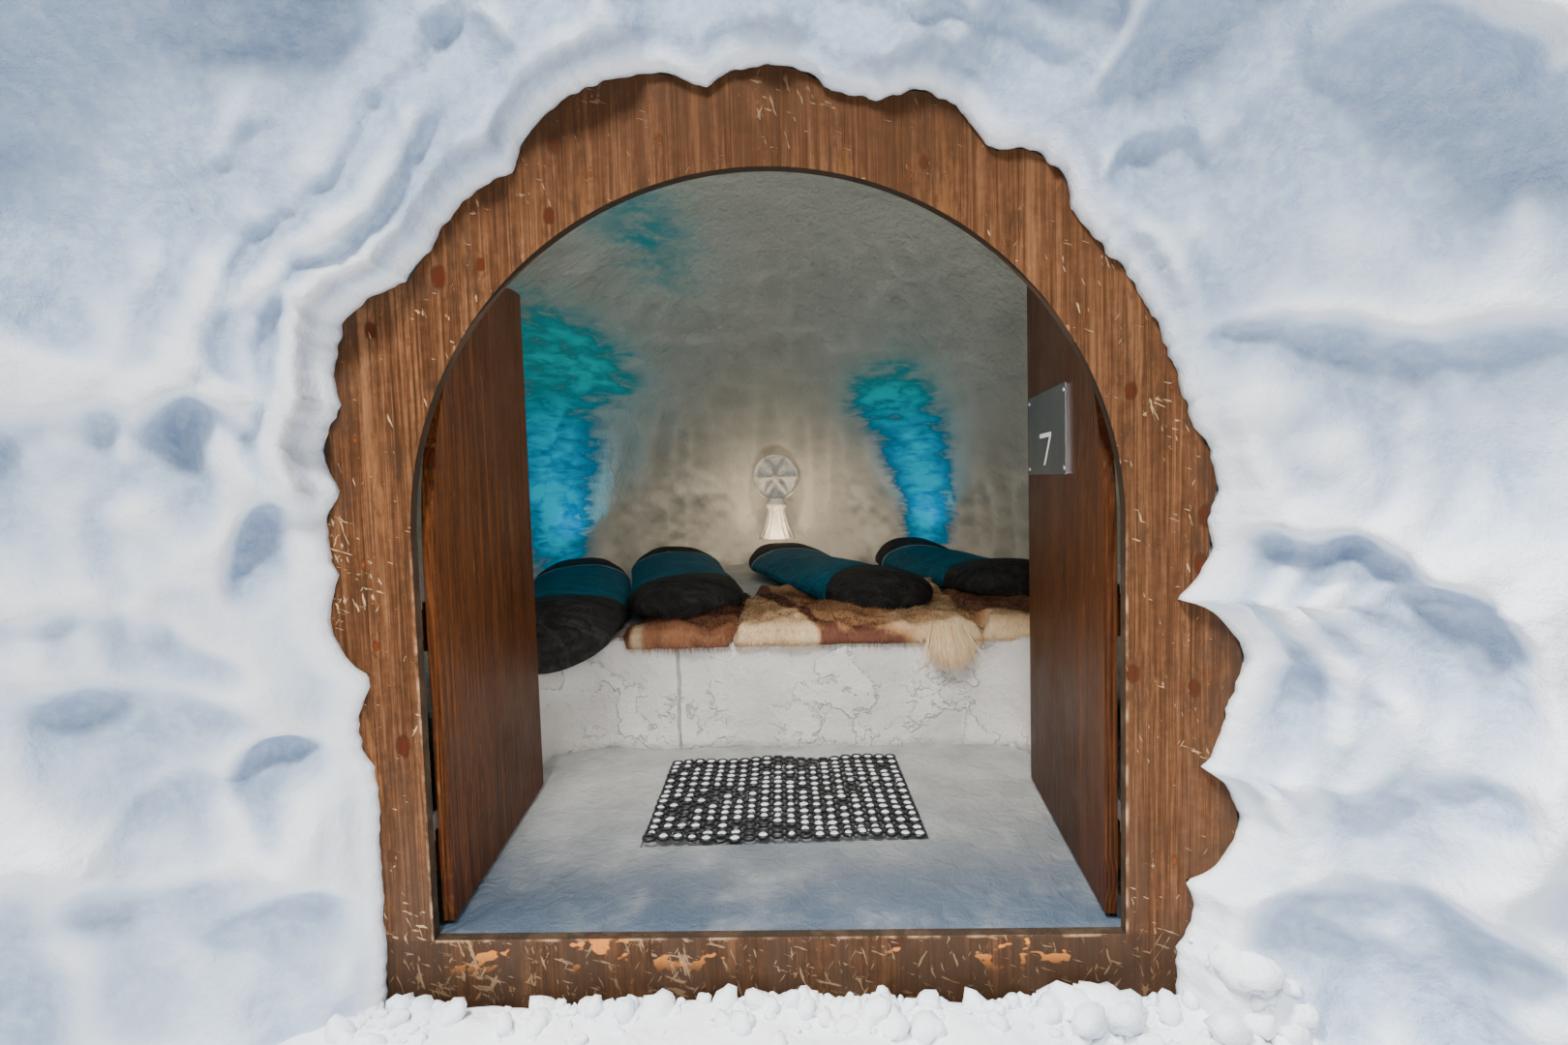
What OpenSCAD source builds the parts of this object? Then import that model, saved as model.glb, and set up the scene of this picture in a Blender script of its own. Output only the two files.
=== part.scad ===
// Snow igloo with an arched wooden portal, two inward-opening board leaves
// and a raised sleeping platform of packed snow.
// Millimetres, +Z up. The origin is on the ground under the centre of the dome,
// the doorway faces -Y, and the leaves are drawn as they stand open.

/* [Doorway] */
// Clear width between the jambs
door_w = 1530; // [1400:10:1600]
// Height of the jambs from the sill to the springing of the arch
spring_h = 895; // [800:5:950]
// Height of the sill and of the snow floor above the ground
floor_h = 170; // [140:5:220]
// Distance by which the portal's front face stands inside the circle of the room
door_in = 550; // [450:10:650]

/* [Portal panel] */
// Thickness of the wooden portal panel
panel_t = 27; // [24:1:42]
// Width of wood over the arch of the opening, before the lobes of the edge
panel_rim = 160; // [140:5:180]
// Width of wood beside the jambs, before the lobes of the edge
jamb_rim = 110; // [90:5:130]

/* [Leaves] */
// Thickness of the leaf boards
leaf_t = 27; // [22:1:27]
// Gap between a leaf and the jamb
jamb_gap = 6; // [6:1:12]
// Gap between the two leaves where they meet
meet_gap = 8; // [6:1:14]
// Gap between a leaf and the sill
sill_gap = 14; // [12:1:20]
// Drop of the leaf's arch below the arch of the opening
leaf_drop = 27; // [20:1:40]
// Angle at which the leaves stand open
open_deg = 95; // [60:1:95]
// Thickness of the ledges on the back of a leaf
ledge_t = 25; // [20:1:30]
// Width of a ledge
ledge_w = 110; // [90:5:140]
// Distance of a ledge's ends from the edge of the leaf
ledge_inset = 22; // [15:1:40]
// Distance of the hinge pin outside the jamb
pin_out = 11; // [10:1:20]

/* [Hinges] */
// Radius of a hinge pin
pin_r = 4; // [3:0.5:5]
// Outer radius of the strap's rolled eye
eye_r = 8; // [7:0.5:10]
// Distance of a strap above the ledge under it
strap_gap = 15; // [5:1:40]
// Height of a strap and of its eye
strap_w = 40; // [30:2:50]
// Thickness of a strap
strap_t = 5; // [4:0.5:6]
// Length of a strap from the pin
strap_len = 430; // [300:10:600]

/* [Number plate] */
// Width of the number plate
plate_w = 430; // [300:10:460]
// Height of the number plate
plate_h = 235; // [200:5:300]
// Thickness of the number plate
plate_t = 9; // [3:1:12]
// Height of the plate's middle above the sill
plate_z = 1120; // [1000:10:1200]
// Distance of the plate's outer edge from the leaf's meeting edge
plate_inset = 50; // [40:5:120]

/* [Snow shell] */
// Inner radius of the dome
room_r = 2100; // [2000:10:2250]
// Height above the floor at which the dome begins
dome_spring = 340; // [300:10:400]
// Thickness of the dome
wall_t = 650; // [550:10:800]
// Width of the snow banked against the foot of the dome
bank_w = 200; // [100:10:300]
// Height of the snow banked against the foot of the dome
bank_h = 620; // [400:10:800]
// Height of the joint between the wall and the dome segments
wall_top = 1250; // [1150:10:1400]
// Height of the joint between the dome segments and the crown
crown_z = 2250; // [2150:10:2350]

/* [Mouth] */
// Radius at which the snow laps over the portal panel
lap_r = 950; // [930:5:980]
// Thickness of that lap in front of the panel
lap_t = 30; // [20:1:50]
// Slope of the flared mouth
flare_deg = 38; // [30:1:45]
// Radius of the rounded lip of the mouth
lip_r = 90; // [60:5:120]
// Radius of the middle of the lip from the arch's centre
lip_mid = 1560; // [1500:10:1650]
// Width of the raised snow outside the lip, where it meets the dome
hood_w = 190; // [150:10:250]
// Distance behind the panel to which the raised snow runs back into the dome
hood_back = 900; // [800:10:1000]
// Distance in front of the panel at which the dome is cut back round the mouth
face_out = 300; // [250:10:350]
// Fall of that cut: across, and back
face_fall = [1400, 700];

/* [Inside] */
// Distance of the platform's front from the portal's front face
well_len = 1150; // [1080:10:1250]
// Half the width of the well in front of the platform
well_half = 890; // [880:5:950]
// Radius of the well's hollow corners
well_corner = 150; // [80:10:250]
// Height of the sleeping platform above the floor
bench_h = 420; // [350:10:480]
// Place of the joint between the two platform blocks
bench_joint = -330; // [-500:10:500]
// Depth to which the mat is trodden into the floor
mat_sink = 13; // [10:1:15]

/* [Furnishings] */
// Thickness of the ring mat
mat_t = 20; // [16:1:20]
// Pitch of the mat's rings
ring_pitch = 40; // [36:1:44]
// Rings along and across the mat
rings = [20, 15];
// Distance of the mat's middle behind the panel's front
mat_dist = 720; // [650:10:760]
// Thickness of the hides
hide_t = 30; // [20:5:50]
// Places of the hides' edges across the platform, from the left
hide_x = [-610, -180, 735, 1250];
// Depth of the brown, the cream and the grey hide
hide_depth = [700, 800, 900];
// Length of the brown and of the cream hide hanging over the platform's edge
hide_drop = [25, 20];
// Length of a sleeping bag
bag_len = 1900; // [1700:50:2000]
// Width of a sleeping bag at the foot
bag_foot = 470; // [400:10:500]
// Width of a sleeping bag at the shoulders
bag_wide = 550; // [500:10:555]
// Height of a sleeping bag
bag_h = 140; // [100:10:200]
// Sleeping places: distance from the middle, turn in degrees, gap from head to wall
left_place = [-950, 14, 100];
mid_left_place = [-440, 11, 150];
mid_right_place = [415, 16.5, 274];
right_place = [1090, 12, 30];
// Length that the right sleeping bag is shorter than the others
right_short = 280; // [100:10:400]

/* [Hidden] */
$fn = 360;
// Gap at which pieces lie against each other
seat = 0.3;
// Length that reaches past everything
far = 4000;

door_r = door_w/2;
arch_z = floor_h + spring_h;
panel_y = door_in - room_r;
back_y = panel_y + panel_t;
dome_z = floor_h + dome_spring;
dome_r = room_r + wall_t;
// Radius of the pocket in the snow that holds the panel and its largest lobe
pocket_r = door_r + panel_rim + 85;
bench_y = panel_y + well_len;
bench_z = floor_h + bench_h;

snow = [0.90, 0.93, 0.96];
stained_wood = [0.40, 0.23, 0.13];
dark_wood = [0.24, 0.12, 0.07];
steel = [0.45, 0.45, 0.45];

// Lobes of the panel's edge along the arch: angle, swell beyond the rim, radius
arch_lobes = [[153, 78, 180], [131, 20, 250], [109, 75, 300], [88, 43, 200], [66, 47, 160],
    [51, 43, 120], [29, 5, 250], [6, 31, 160]];
// Lobes of the edge beside the jambs: side, swell beyond the rim, height above the sill, radius
jamb_lobes = [[-1, 65, 1090, 150], [-1, 75, 905, 150], [-1, 81, 740, 150], [-1, 30, 490, 150],
    [1, 64, 855, 140], [1, 133, 590, 140], [1, 97, 480, 140], [1, 125, 250, 130],
    [1, 32, 60, 130]];

// Outline in the XZ plane stood upright, its front face at y and running back by depth
module upright(y, depth) {
    translate([0, y + depth, 0]) rotate([90, 0, 0]) linear_extrude(depth) children();
}

// Arched outline of the given radius, with straight sides down to the height low
module arch_outline(r, low = 0) {
    translate([0, arch_z]) intersection() {
        circle(r);
        translate([-r, 0]) square([2*r, r]);
    }
    translate([-r, low]) square([2*r, arch_z - low]);
}

// Profile of radius and distance in front of the panel, carried round the doorway
module round_doorway() {
    translate([0, panel_y, arch_z]) rotate([90, 0, 0])
        rotate_extrude(angle = 180) children();
    for (side = [0, 1]) mirror([side, 0, 0]) translate([0, panel_y, 0])
        linear_extrude(arch_z) mirror([0, 1]) children();
}

// Height of the snow bank's edge beyond the dome at the height z
function bank_at(z) = bank_w*pow(max(0, 1 - z/bank_h), 2);

// Outside of the igloo in radius and height
module dome_outline() {
    intersection() {
        translate([0, dome_z]) circle(dome_r);
        translate([0, dome_z]) square([dome_r, dome_r]);
    }
    polygon(concat([[0, 0]], [for (i = [0:5]) let (z = i*dome_z/5)
        [dome_r + bank_at(z), z]], [[0, dome_z]]));
}

// Inside of the igloo in radius and height
module room_outline() {
    intersection() {
        translate([0, dome_z]) circle(room_r);
        translate([0, dome_z]) square([room_r, room_r]);
    }
    translate([0, -1]) square([room_r, dome_z + 1]);
}

// Hollow of the room, cut flat behind the portal
module room() {
    difference() {
        rotate_extrude() room_outline();
        translate([-far, -far, -10]) cube([2*far, far + back_y, 2*far]);
    }
}

// Distance of the lip's middle in front of the panel
lip_y = lap_t + ((lip_mid - lap_r)*sin(flare_deg) - lip_r)/cos(flare_deg);

// Packed snow raised round the doorway
module hood() {
    round_doorway() {
        polygon([[lap_r, -panel_t], [lap_r, lap_t],
            [lip_mid - lip_r*sin(flare_deg), lip_y + lip_r*cos(flare_deg)],
            [lip_mid + lip_r, lip_y], [lip_mid + hood_w, -hood_back], [lap_r, -hood_back]]);
        translate([lip_mid, lip_y]) circle(lip_r);
    }
}

// Flared way in through the snow in front of the panel
module mouth() {
    round_doorway() polygon([[0, 0], [lap_r, 0], [lap_r, lap_t],
        [lip_mid - lip_r*sin(flare_deg), lip_y + lip_r*cos(flare_deg)],
        [lip_mid - lip_r*sin(flare_deg), far], [0, far]]);
}

// Snow shell with the mouth, all in one mass
module shell() {
    difference() {
        union() {
            difference() {
                rotate_extrude() dome_outline();
                round_doorway() polygon([[0, face_out], [lip_mid, face_out],
                    [lip_mid + face_fall[0], face_out - face_fall[1]],
                    [lip_mid + face_fall[0], far], [0, far]]);
            }
            hood();
        }
        room();
        mouth();
        upright(panel_y, panel_t) arch_outline(pocket_r, -1);
    }
}

// Block of space that holds the mouth's own pieces
mouth_half = 1750;
module mouth_space(x0, x1, z0, z1) {
    translate([x0, -far, z0]) cube([x1 - x0, far + back_y, z1 - z0]);
}

// Angle taken by each of the five segments away from the doorway, from right to left
sector_deg = 45;
// Angle taken by each segment beside the doorway
front_deg = (360 - 5*sector_deg)/2;

// Segment of the shell away from the doorway, between two heights
module shell_sector(place, z0, z1) {
    color(snow) rotate_extrude(angle = sector_deg, start = front_deg - 90 + place*sector_deg)
        intersection() {
            difference() {
                dome_outline();
                room_outline();
            }
            translate([0, z0]) square([far, z1 - z0]);
        }
}

// Segment of the shell beside the doorway, on the side -1 or 1, cut clear of the mouth's pieces
module front_sector(side, z0, z1) {
    color(snow) difference() {
        intersection() {
            shell();
            translate([0, 0, z0]) linear_extrude(z1 - z0) polygon([[0, 0],
                for (i = [0:2]) 2*far*[side*sin(i*front_deg/2), -cos(i*front_deg/2)]]);
        }
        mouth_space(-mouth_half, mouth_half, -1, far);
    }
}

module wall_right_front() { front_sector(1, 0, wall_top); }
module wall_right() { shell_sector(0, 0, wall_top); }
module wall_right_back() { shell_sector(1, 0, wall_top); }
module wall_back() { shell_sector(2, 0, wall_top); }
module wall_left_back() { shell_sector(3, 0, wall_top); }
module wall_left() { shell_sector(4, 0, wall_top); }
module wall_left_front() { front_sector(-1, 0, wall_top); }
module dome_right_front() { front_sector(1, wall_top, crown_z); }
module dome_right() { shell_sector(0, wall_top, crown_z); }
module dome_right_back() { shell_sector(1, wall_top, crown_z); }
module dome_back() { shell_sector(2, wall_top, crown_z); }
module dome_left_back() { shell_sector(3, wall_top, crown_z); }
module dome_left() { shell_sector(4, wall_top, crown_z); }
module dome_left_front() { front_sector(-1, wall_top, crown_z); }

// Cap that closes the dome
module dome_crown() {
    color(snow) difference() {
        intersection() {
            shell();
            translate([-far, -far, crown_z]) cube(2*far);
        }
        mouth_space(-mouth_half, mouth_half, -1, far);
    }
}

// Piece of the shell in front of the room, between two widths and two heights
module mouth_piece(x0, x1, z0, z1) {
    color(snow) intersection() {
        shell();
        mouth_space(x0, x1, z0, z1);
    }
}
module mouth_pier_left() { mouth_piece(-mouth_half, 0, -1, arch_z); }
module mouth_pier_right() { mouth_piece(0, mouth_half, -1, arch_z); }
module mouth_arch_left() { mouth_piece(-mouth_half, 0, arch_z, far); }
module mouth_arch_right() { mouth_piece(0, mouth_half, arch_z, far); }

// Snow trodden against the foot of the panel
step_h = 45;
module doorstep() {
    flare = (lip_y - lap_t)/tan(flare_deg);
    color(snow) translate([0, panel_y - seat, 0]) linear_extrude(step_h)
        polygon([[-lap_r + seat, 0], [lap_r - seat, 0], [lap_r - seat, -lap_t],
            [lap_r + flare - 2*seat, -lip_y], [-lap_r - flare + 2*seat, -lip_y],
            [-lap_r + seat, -lap_t]]);
}

// Plan of the room, drawn in from the wall by the gap
module room_plan(gap) {
    difference() {
        circle(room_r - gap);
        translate([-far, -far]) square([2*far, far + back_y + seat]);
    }
}

// Snow floor, level with the sill
module floor() {
    color(snow) difference() {
        linear_extrude(floor_h) room_plan(seat);
        translate([0, mat_y, floor_h - mat_sink])
            rotate(mat_turn) linear_extrude(far) square(ring_pitch*rings + [6, 6], center = true);
    }
}

// Radius of the room at the height z above the dome's springing
function room_radius(z) = sqrt(pow(room_r, 2) - pow(max(0, z - dome_z), 2));

// Plan of the raised snow round the well, between two bounds in x and y
module raised_plan(x0, x1, y0, y1) {
    intersection() {
        difference() {
            room_plan(room_r - room_radius(bench_z) + seat);
            translate([-well_half, -far]) square([2*well_half, far + bench_y - well_corner]);
            translate([well_corner - well_half, -far])
                square([2*(well_half - well_corner), far + bench_y]);
            for (s = [-1, 1]) translate([s*(well_half - well_corner), bench_y - well_corner])
                circle(well_corner);
        }
        translate([x0, y0]) square([x1 - x0, y1 - y0]);
    }
}
module raised_snow(x0, x1, y0, y1) {
    color(snow) translate([0, 0, floor_h]) linear_extrude(bench_h) raised_plan(x0, x1, y0, y1);
}
module bench_left() { raised_snow(-far, 0, -far, bench_y); }
module bench_right() { raised_snow(0, far, -far, bench_y); }
module platform_left() { raised_snow(-far, bench_joint, bench_y, far); }
module platform_right() { raised_snow(bench_joint, far, bench_y, far); }

// Wooden panel with the arched opening and a scalloped edge
module portal_panel() {
    jamb_w = door_r + jamb_rim;
    color(stained_wood) upright(panel_y, panel_t - seat) difference() {
        intersection() {
            union() {
                arch_outline(door_r + panel_rim, arch_z);
                translate([-jamb_w, 0]) square([2*jamb_w, arch_z]);
                for (l = arch_lobes) translate([0, arch_z]) rotate(l[0])
                    translate([door_r + panel_rim + l[1] - l[2], 0]) circle(l[2]);
                for (l = jamb_lobes)
                    translate([l[0]*(jamb_w + l[1] - l[3]), floor_h + l[2]]) circle(l[3]);
            }
            translate([-far, 0]) square(2*far);
        }
        arch_outline(door_r, floor_h);
    }
}

// Hinge pin of a leaf, on the side -1 or 1
pin_x = door_r + pin_out;
pin_y = back_y + eye_r + seat;

// Turns a closed leaf on its pin to where it stands open
module stand_open(side) {
    translate([side*pin_x, pin_y, 0]) rotate(-side*open_deg)
        translate([-side*pin_x, -pin_y, 0]) children();
}

// Arched outline of a leaf on the side -1 or 1, drawn in by the inset
module leaf_outline(side, inset) {
    x0 = meet_gap/2 + inset;
    intersection() {
        translate([0, -leaf_drop]) arch_outline(door_r - jamb_gap - inset, floor_h);
        translate([side > 0 ? x0 : -door_r, floor_h + sill_gap]) square([door_r - x0, far]);
    }
}

// Board leaf with an arched head, its back flush with the panel's back
module leaf(side) {
    stand_open(side) color(dark_wood) upright(back_y - leaf_t, leaf_t) leaf_outline(side, 0);
}

// Heights above the sill of the ledges that hold a leaf's boards together
ledge_z = [110, 640, 1170];
module ledges(side) {
    stand_open(side) color(dark_wood) upright(back_y, ledge_t) for (z = ledge_z) intersection() {
        leaf_outline(side, ledge_inset);
        translate([-far, floor_h + z]) square([2*far, ledge_w]);
    }
}

// Heights of the two straps' lower edges
strap_z = [for (i = [0, 1]) floor_h + ledge_z[i] + ledge_w + strap_gap];

// Iron straps on the back of a leaf, each with an eye rolled round the pin
module straps(side) {
    stand_open(side) color(steel) for (z = strap_z) translate([side*pin_x, pin_y, z])
        difference() {
            union() {
                cylinder(r = eye_r, h = strap_w);
                translate([side > 0 ? -strap_len : 0, -eye_r, 0])
                    cube([strap_len, strap_t, strap_w]);
            }
            translate([0, 0, -1]) cylinder(r = pin_r + seat, h = strap_w + 2);
        }
}

// Pintles on the back of the panel, each a plate with an arm and an upright pin
arm_h = 22;
pintle_plate = [60, 6, 90];
module pintles(side) {
    color(steel) for (z = strap_z) translate([side*pin_x, 0, z - seat]) {
        translate([side > 0 ? -eye_r : eye_r - pintle_plate[0], back_y, -pintle_plate[2]])
            cube(pintle_plate);
        translate([-eye_r, back_y, -arm_h]) cube([2*eye_r, pin_y - back_y, arm_h]);
        translate([0, pin_y, -arm_h]) cylinder(r = eye_r, h = arm_h);
        translate([0, pin_y, -1]) cylinder(r = pin_r, h = strap_w + 6);
    }
}

module left_leaf() { leaf(-1); }
module left_ledges() { ledges(-1); }
module left_straps() { straps(-1); }
module left_pintles() { pintles(-1); }
module right_leaf() { leaf(1); }
module right_ledges() { ledges(1); }
module right_straps() { straps(1); }
module right_pintles() { pintles(1); }

// Plate on the outer face of the right leaf
module number_plate() {
    stand_open(1) color([0.22, 0.24, 0.24])
        translate([meet_gap/2 + plate_inset, back_y - leaf_t - plate_t,
            floor_h + plate_z - plate_h/2]) cube([plate_w, plate_t, plate_h]);
}

// Rubber mat of round cells, trodden into the floor
mat_y = panel_y + mat_dist;
mat_turn = 1.8;
module ring_mat() {
    color([0.05, 0.05, 0.05]) translate([0, mat_y, floor_h - mat_sink]) rotate(mat_turn)
        linear_extrude(mat_t - 2) square(ring_pitch*rings, center = true);
}

// Hide laid on the platform, counted from the left
module hide(i) {
    translate([hide_x[i] + seat, bench_y, bench_z + seat])
        cube([hide_x[i + 1] - hide_x[i] - 2*seat, hide_depth[i], hide_t - seat]);
}

// Edge of a hide that hangs over the front of the platform
module hide_edge(i) {
    width = hide_x[i + 1] - hide_x[i] - 2*seat;
    translate([hide_x[i] + seat, bench_y - hide_t - seat, bench_z - hide_drop[i]])
        cube([width, hide_t, hide_drop[i] + hide_t]);
    translate([hide_x[i] + seat, bench_y - hide_t - seat, bench_z + seat])
        cube([width, 2*hide_t, hide_t - seat]);
}
module hide_brown() {
    color([0.45, 0.25, 0.14]) {
        hide(0);
        hide_edge(0);
    }
}
module hide_cream() {
    color([0.80, 0.68, 0.52]) {
        hide(1);
        hide_edge(1);
    }
}
module hide_grey() { color([0.62, 0.50, 0.38]) hide(2); }

// Distance of a bag's head along its own line, at which both corners clear the wall by the gap
function head_at(place, z) = let (r = room_radius(z + bag_h), turn = place[1],
    along = [-sin(turn), cos(turn)], across = bag_wide/2*[cos(turn), sin(turn)])
    min([for (s = [-1, 1]) let (c = [place[0], 0] + s*across, p = c*along)
        sqrt(p*p - c*c + r*r) - p]) - place[2];

// Sleeping bag with a round foot, lying at its place on the height z, its head to the wall
module sleeping_bag(place, z, length = bag_len) {
    color([0.05, 0.36, 0.50]) translate([place[0], 0, z + seat]) rotate(place[1])
        translate([0, head_at(place, z) - length]) linear_extrude(bag_h) {
            translate([0, bag_foot/2]) circle(bag_foot/2);
            polygon([[-bag_foot/2, bag_foot/2], [bag_foot/2, bag_foot/2],
                [bag_wide/2, length], [-bag_wide/2, length]]);
        }
}
module sleeping_bag_left() { sleeping_bag(left_place, bench_z); }
module sleeping_bag_mid_left() { sleeping_bag(mid_left_place, bench_z + hide_t); }
module sleeping_bag_mid_right() { sleeping_bag(mid_right_place, bench_z + hide_t); }
module sleeping_bag_right() {
    sleeping_bag(right_place, bench_z + hide_t, bag_len - right_short);
}

wall_right_front();
wall_right();
wall_right_back();
wall_back();
wall_left_back();
wall_left();
wall_left_front();
dome_right_front();
dome_right();
dome_right_back();
dome_back();
dome_left_back();
dome_left();
dome_left_front();
dome_crown();
mouth_pier_left();
mouth_pier_right();
mouth_arch_left();
mouth_arch_right();
doorstep();
floor();
bench_left();
bench_right();
platform_left();
platform_right();
portal_panel();
left_leaf();
left_ledges();
left_straps();
left_pintles();
right_leaf();
right_ledges();
right_straps();
right_pintles();
number_plate();
ring_mat();
hide_brown();
hide_cream();
hide_grey();
sleeping_bag_left();
sleeping_bag_mid_left();
sleeping_bag_mid_right();
sleeping_bag_right();
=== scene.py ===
from math import cos, pi, radians, sin

import bmesh
import bpy
import numpy as np
from mathutils import Matrix, Vector
from mathutils.bvhtree import BVHTree


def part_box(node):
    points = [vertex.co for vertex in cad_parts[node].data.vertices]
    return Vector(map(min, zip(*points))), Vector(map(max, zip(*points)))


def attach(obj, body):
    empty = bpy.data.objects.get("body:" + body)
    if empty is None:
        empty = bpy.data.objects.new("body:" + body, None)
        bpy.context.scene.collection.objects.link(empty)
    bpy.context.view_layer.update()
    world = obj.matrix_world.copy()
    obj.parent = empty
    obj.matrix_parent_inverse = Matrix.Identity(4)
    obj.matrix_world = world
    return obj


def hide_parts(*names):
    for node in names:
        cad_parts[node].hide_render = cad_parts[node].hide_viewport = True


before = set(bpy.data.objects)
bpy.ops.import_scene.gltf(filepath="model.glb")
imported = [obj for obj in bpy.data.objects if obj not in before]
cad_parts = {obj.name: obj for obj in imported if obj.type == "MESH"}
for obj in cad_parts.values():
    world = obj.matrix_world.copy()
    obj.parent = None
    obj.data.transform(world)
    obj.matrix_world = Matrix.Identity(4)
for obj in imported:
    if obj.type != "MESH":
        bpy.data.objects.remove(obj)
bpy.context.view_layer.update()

# Camera. The picture was taken from close in front of the doorway with a wide lens, at breast
# height above the snow floor, tipped a little down, turned a little left and tilted a little.
PORTAL_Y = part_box("portal_panel")[0].y
FLOOR_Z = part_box("floor")[1].z
CAMERA_SIDE, CAMERA_BACK, CAMERA_UP = 0.092, 1.549, 1.008
CAMERA_PITCH, CAMERA_YAW, CAMERA_ROLL = radians(-3.33), radians(1.72), radians(1.62)
LENS_MM, SENSOR_MM, NEAREST = 16.71, 36, 0.05

camera_data = bpy.data.cameras.new("camera")
camera_data.lens = LENS_MM
camera_data.sensor_width = SENSOR_MM
camera_data.clip_start = NEAREST
camera = bpy.data.objects.new("camera", camera_data)
camera.matrix_world = (
    Matrix.Translation((CAMERA_SIDE, PORTAL_Y - CAMERA_BACK, FLOOR_Z + CAMERA_UP))
    @ Matrix.Rotation(CAMERA_YAW, 4, "Z") @ Matrix.Rotation(CAMERA_PITCH, 4, "X")
    @ Matrix.Rotation(CAMERA_ROLL, 4, "Y") @ Matrix.Rotation(pi / 2, 4, "X"))
bpy.context.collection.objects.link(camera)
bpy.context.scene.camera = camera


class Value:
    """Number that varies over a surface. Arithmetic on it adds Math nodes to its finish."""

    def __init__(self, finish, socket):
        self.finish, self.socket = finish, socket

    def maths(self, operation, *others):
        return self.finish.maths(operation, self, *others)

    def __add__(self, other):
        return self.maths("ADD", other)

    def __sub__(self, other):
        return self.maths("SUBTRACT", other)

    def __rsub__(self, other):
        return self.finish.maths("SUBTRACT", other, self)

    def __mul__(self, other):
        return self.maths("MULTIPLY", other)

    def __truediv__(self, other):
        return self.maths("DIVIDE", other)

    __radd__, __rmul__ = __add__, __mul__


class Finish:
    """A material in the making, with object coordinates in metres to place its patterns."""

    def __init__(self, name, roughness, **constants):
        self.material = bpy.data.materials.new(name)
        self.material.use_nodes = True
        self.tree = self.material.node_tree
        self.shader = self.tree.nodes["Principled BSDF"]
        self.shader.inputs["Roughness"].default_value = roughness
        for socket, value in constants.items():
            self.shader.inputs[socket.replace("_", " ")].default_value = value
        self.place = self.node("TexCoord", out="Object")

    def node(self, kind, settings=None, inputs=None, out=0):
        made = self.tree.nodes.new("ShaderNode" + kind)
        for key, value in (settings or {}).items():
            if key == "stops":
                for i, (at, colour) in enumerate(value):
                    stop = made.color_ramp.elements[i] if i < 2 else \
                        made.color_ramp.elements.new(at)
                    stop.position, stop.color = at, (*colour, 1)
            else:
                setattr(made, key, value)
        for key, value in (inputs or {}).items():
            self.feed(made.inputs[key], value)
        return Value(self, made.outputs[out])

    def feed(self, socket, value):
        if isinstance(value, Value):
            self.tree.links.new(value.socket, socket)
        elif socket.type == "RGBA" and len(value) == 3:
            socket.default_value = (*value, 1)
        else:
            socket.default_value = value

    def maths(self, operation, *values):
        return self.node("Math", {"operation": operation}, dict(enumerate(values)))


    def scaled(self, by, turn=(0, 0, 0), at=None):
        """Object coordinates stretched by a factor for each axis, for a pattern with a grain."""
        return self.node("Mapping", {}, {"Vector": at or self.place, "Scale": by,
                                         "Rotation": turn})

    def noise(self, scale, detail=3.0, rough=0.5, at=None, twist=0.0):
        """Noise of one scale, or of a scale for each axis where it follows a grain."""
        if isinstance(scale, tuple):
            at, scale = self.scaled(scale, at=at), 1.0
        return self.node("TexNoise", {}, {"Vector": at or self.place, "Scale": scale,
                                          "Detail": detail, "Roughness": rough,
                                          "Distortion": twist})

    def step(self, value, low, high):
        """0 below low and 1 above high, with a smooth change between them."""
        return self.node("MapRange", {"interpolation_type": "SMOOTHSTEP"},
                         {0: value, 1: low, 2: high})

    def mix(self, first, second, mask):
        return self.node("Mix", {"data_type": "RGBA"}, {0: mask, 6: first, 7: second}, out=2)

    def ramp(self, value, *stops):
        return self.node("ValToRGB", {"stops": stops}, {0: value})

    def bump(self, height, depth, under=None):
        """Normal raised by height, where 1 is depth metres, over another bump if one is given."""
        inputs = {"Height": height, "Distance": depth, "Strength": 1.0}
        if under:
            inputs["Normal"] = under
        return self.node("Bump", {}, inputs)

    def axis(self, letter):
        """One object coordinate as a number."""
        return self.node("SeparateXYZ", {}, {0: self.place}, out=letter)

    def attribute(self, name):
        return self.node("Attribute", {"attribute_name": name}, out="Fac")

    def wear(self, **sockets):
        """Sets what varies over the surface, such as Base_Color, Roughness or Normal."""
        for socket, value in sockets.items():
            self.feed(self.shader.inputs[socket.replace("_", " ")], value)
        return self.material


# Studio round the igloo: a plain pale floor, an even pale sky, two soft lights high in front of
# the doorway, the stronger one further left, and a weak wide one on the right.
STUDIO_HALF = 30
GROUND_GAP = 0.002
SKY_COLOUR, SKY_STRENGTH = (0.56, 0.77, 1.0, 1), 0.26
LIT_POINT = (0, PORTAL_Y, 1)     # where the three lights point


def mesh_object(name, vertices, faces, material=None, smooth=True):
    """Object at the origin with its place in its mesh."""
    mesh = bpy.data.meshes.new(name)
    mesh.from_pydata([tuple(v) for v in vertices], [], faces)
    mesh.validate()
    if smooth:
        mesh.shade_smooth()
    if material:
        mesh.materials.append(material)
    made = bpy.data.objects.new(name, mesh)
    bpy.context.collection.objects.link(made)
    return made


studio_finish = Finish("studio floor", 0.8)
studio_floor = mesh_object(
    "studio_floor",
    [(x * STUDIO_HALF, y * STUDIO_HALF, -GROUND_GAP) for x, y in
     ((-1, -1), (1, -1), (1, 1), (-1, 1))], [(0, 1, 2, 3)],
    studio_finish.wear(Base_Color=studio_finish.mix(
        (0.62, 0.64, 0.67), (0.66, 0.68, 0.70), studio_finish.noise(0.4))), smooth=False)

world = bpy.data.worlds.new("pale sky")
world.use_nodes = True
world.node_tree.nodes["Background"].inputs[0].default_value = SKY_COLOUR
world.node_tree.nodes["Background"].inputs[1].default_value = SKY_STRENGTH
bpy.context.scene.world = world


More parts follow.
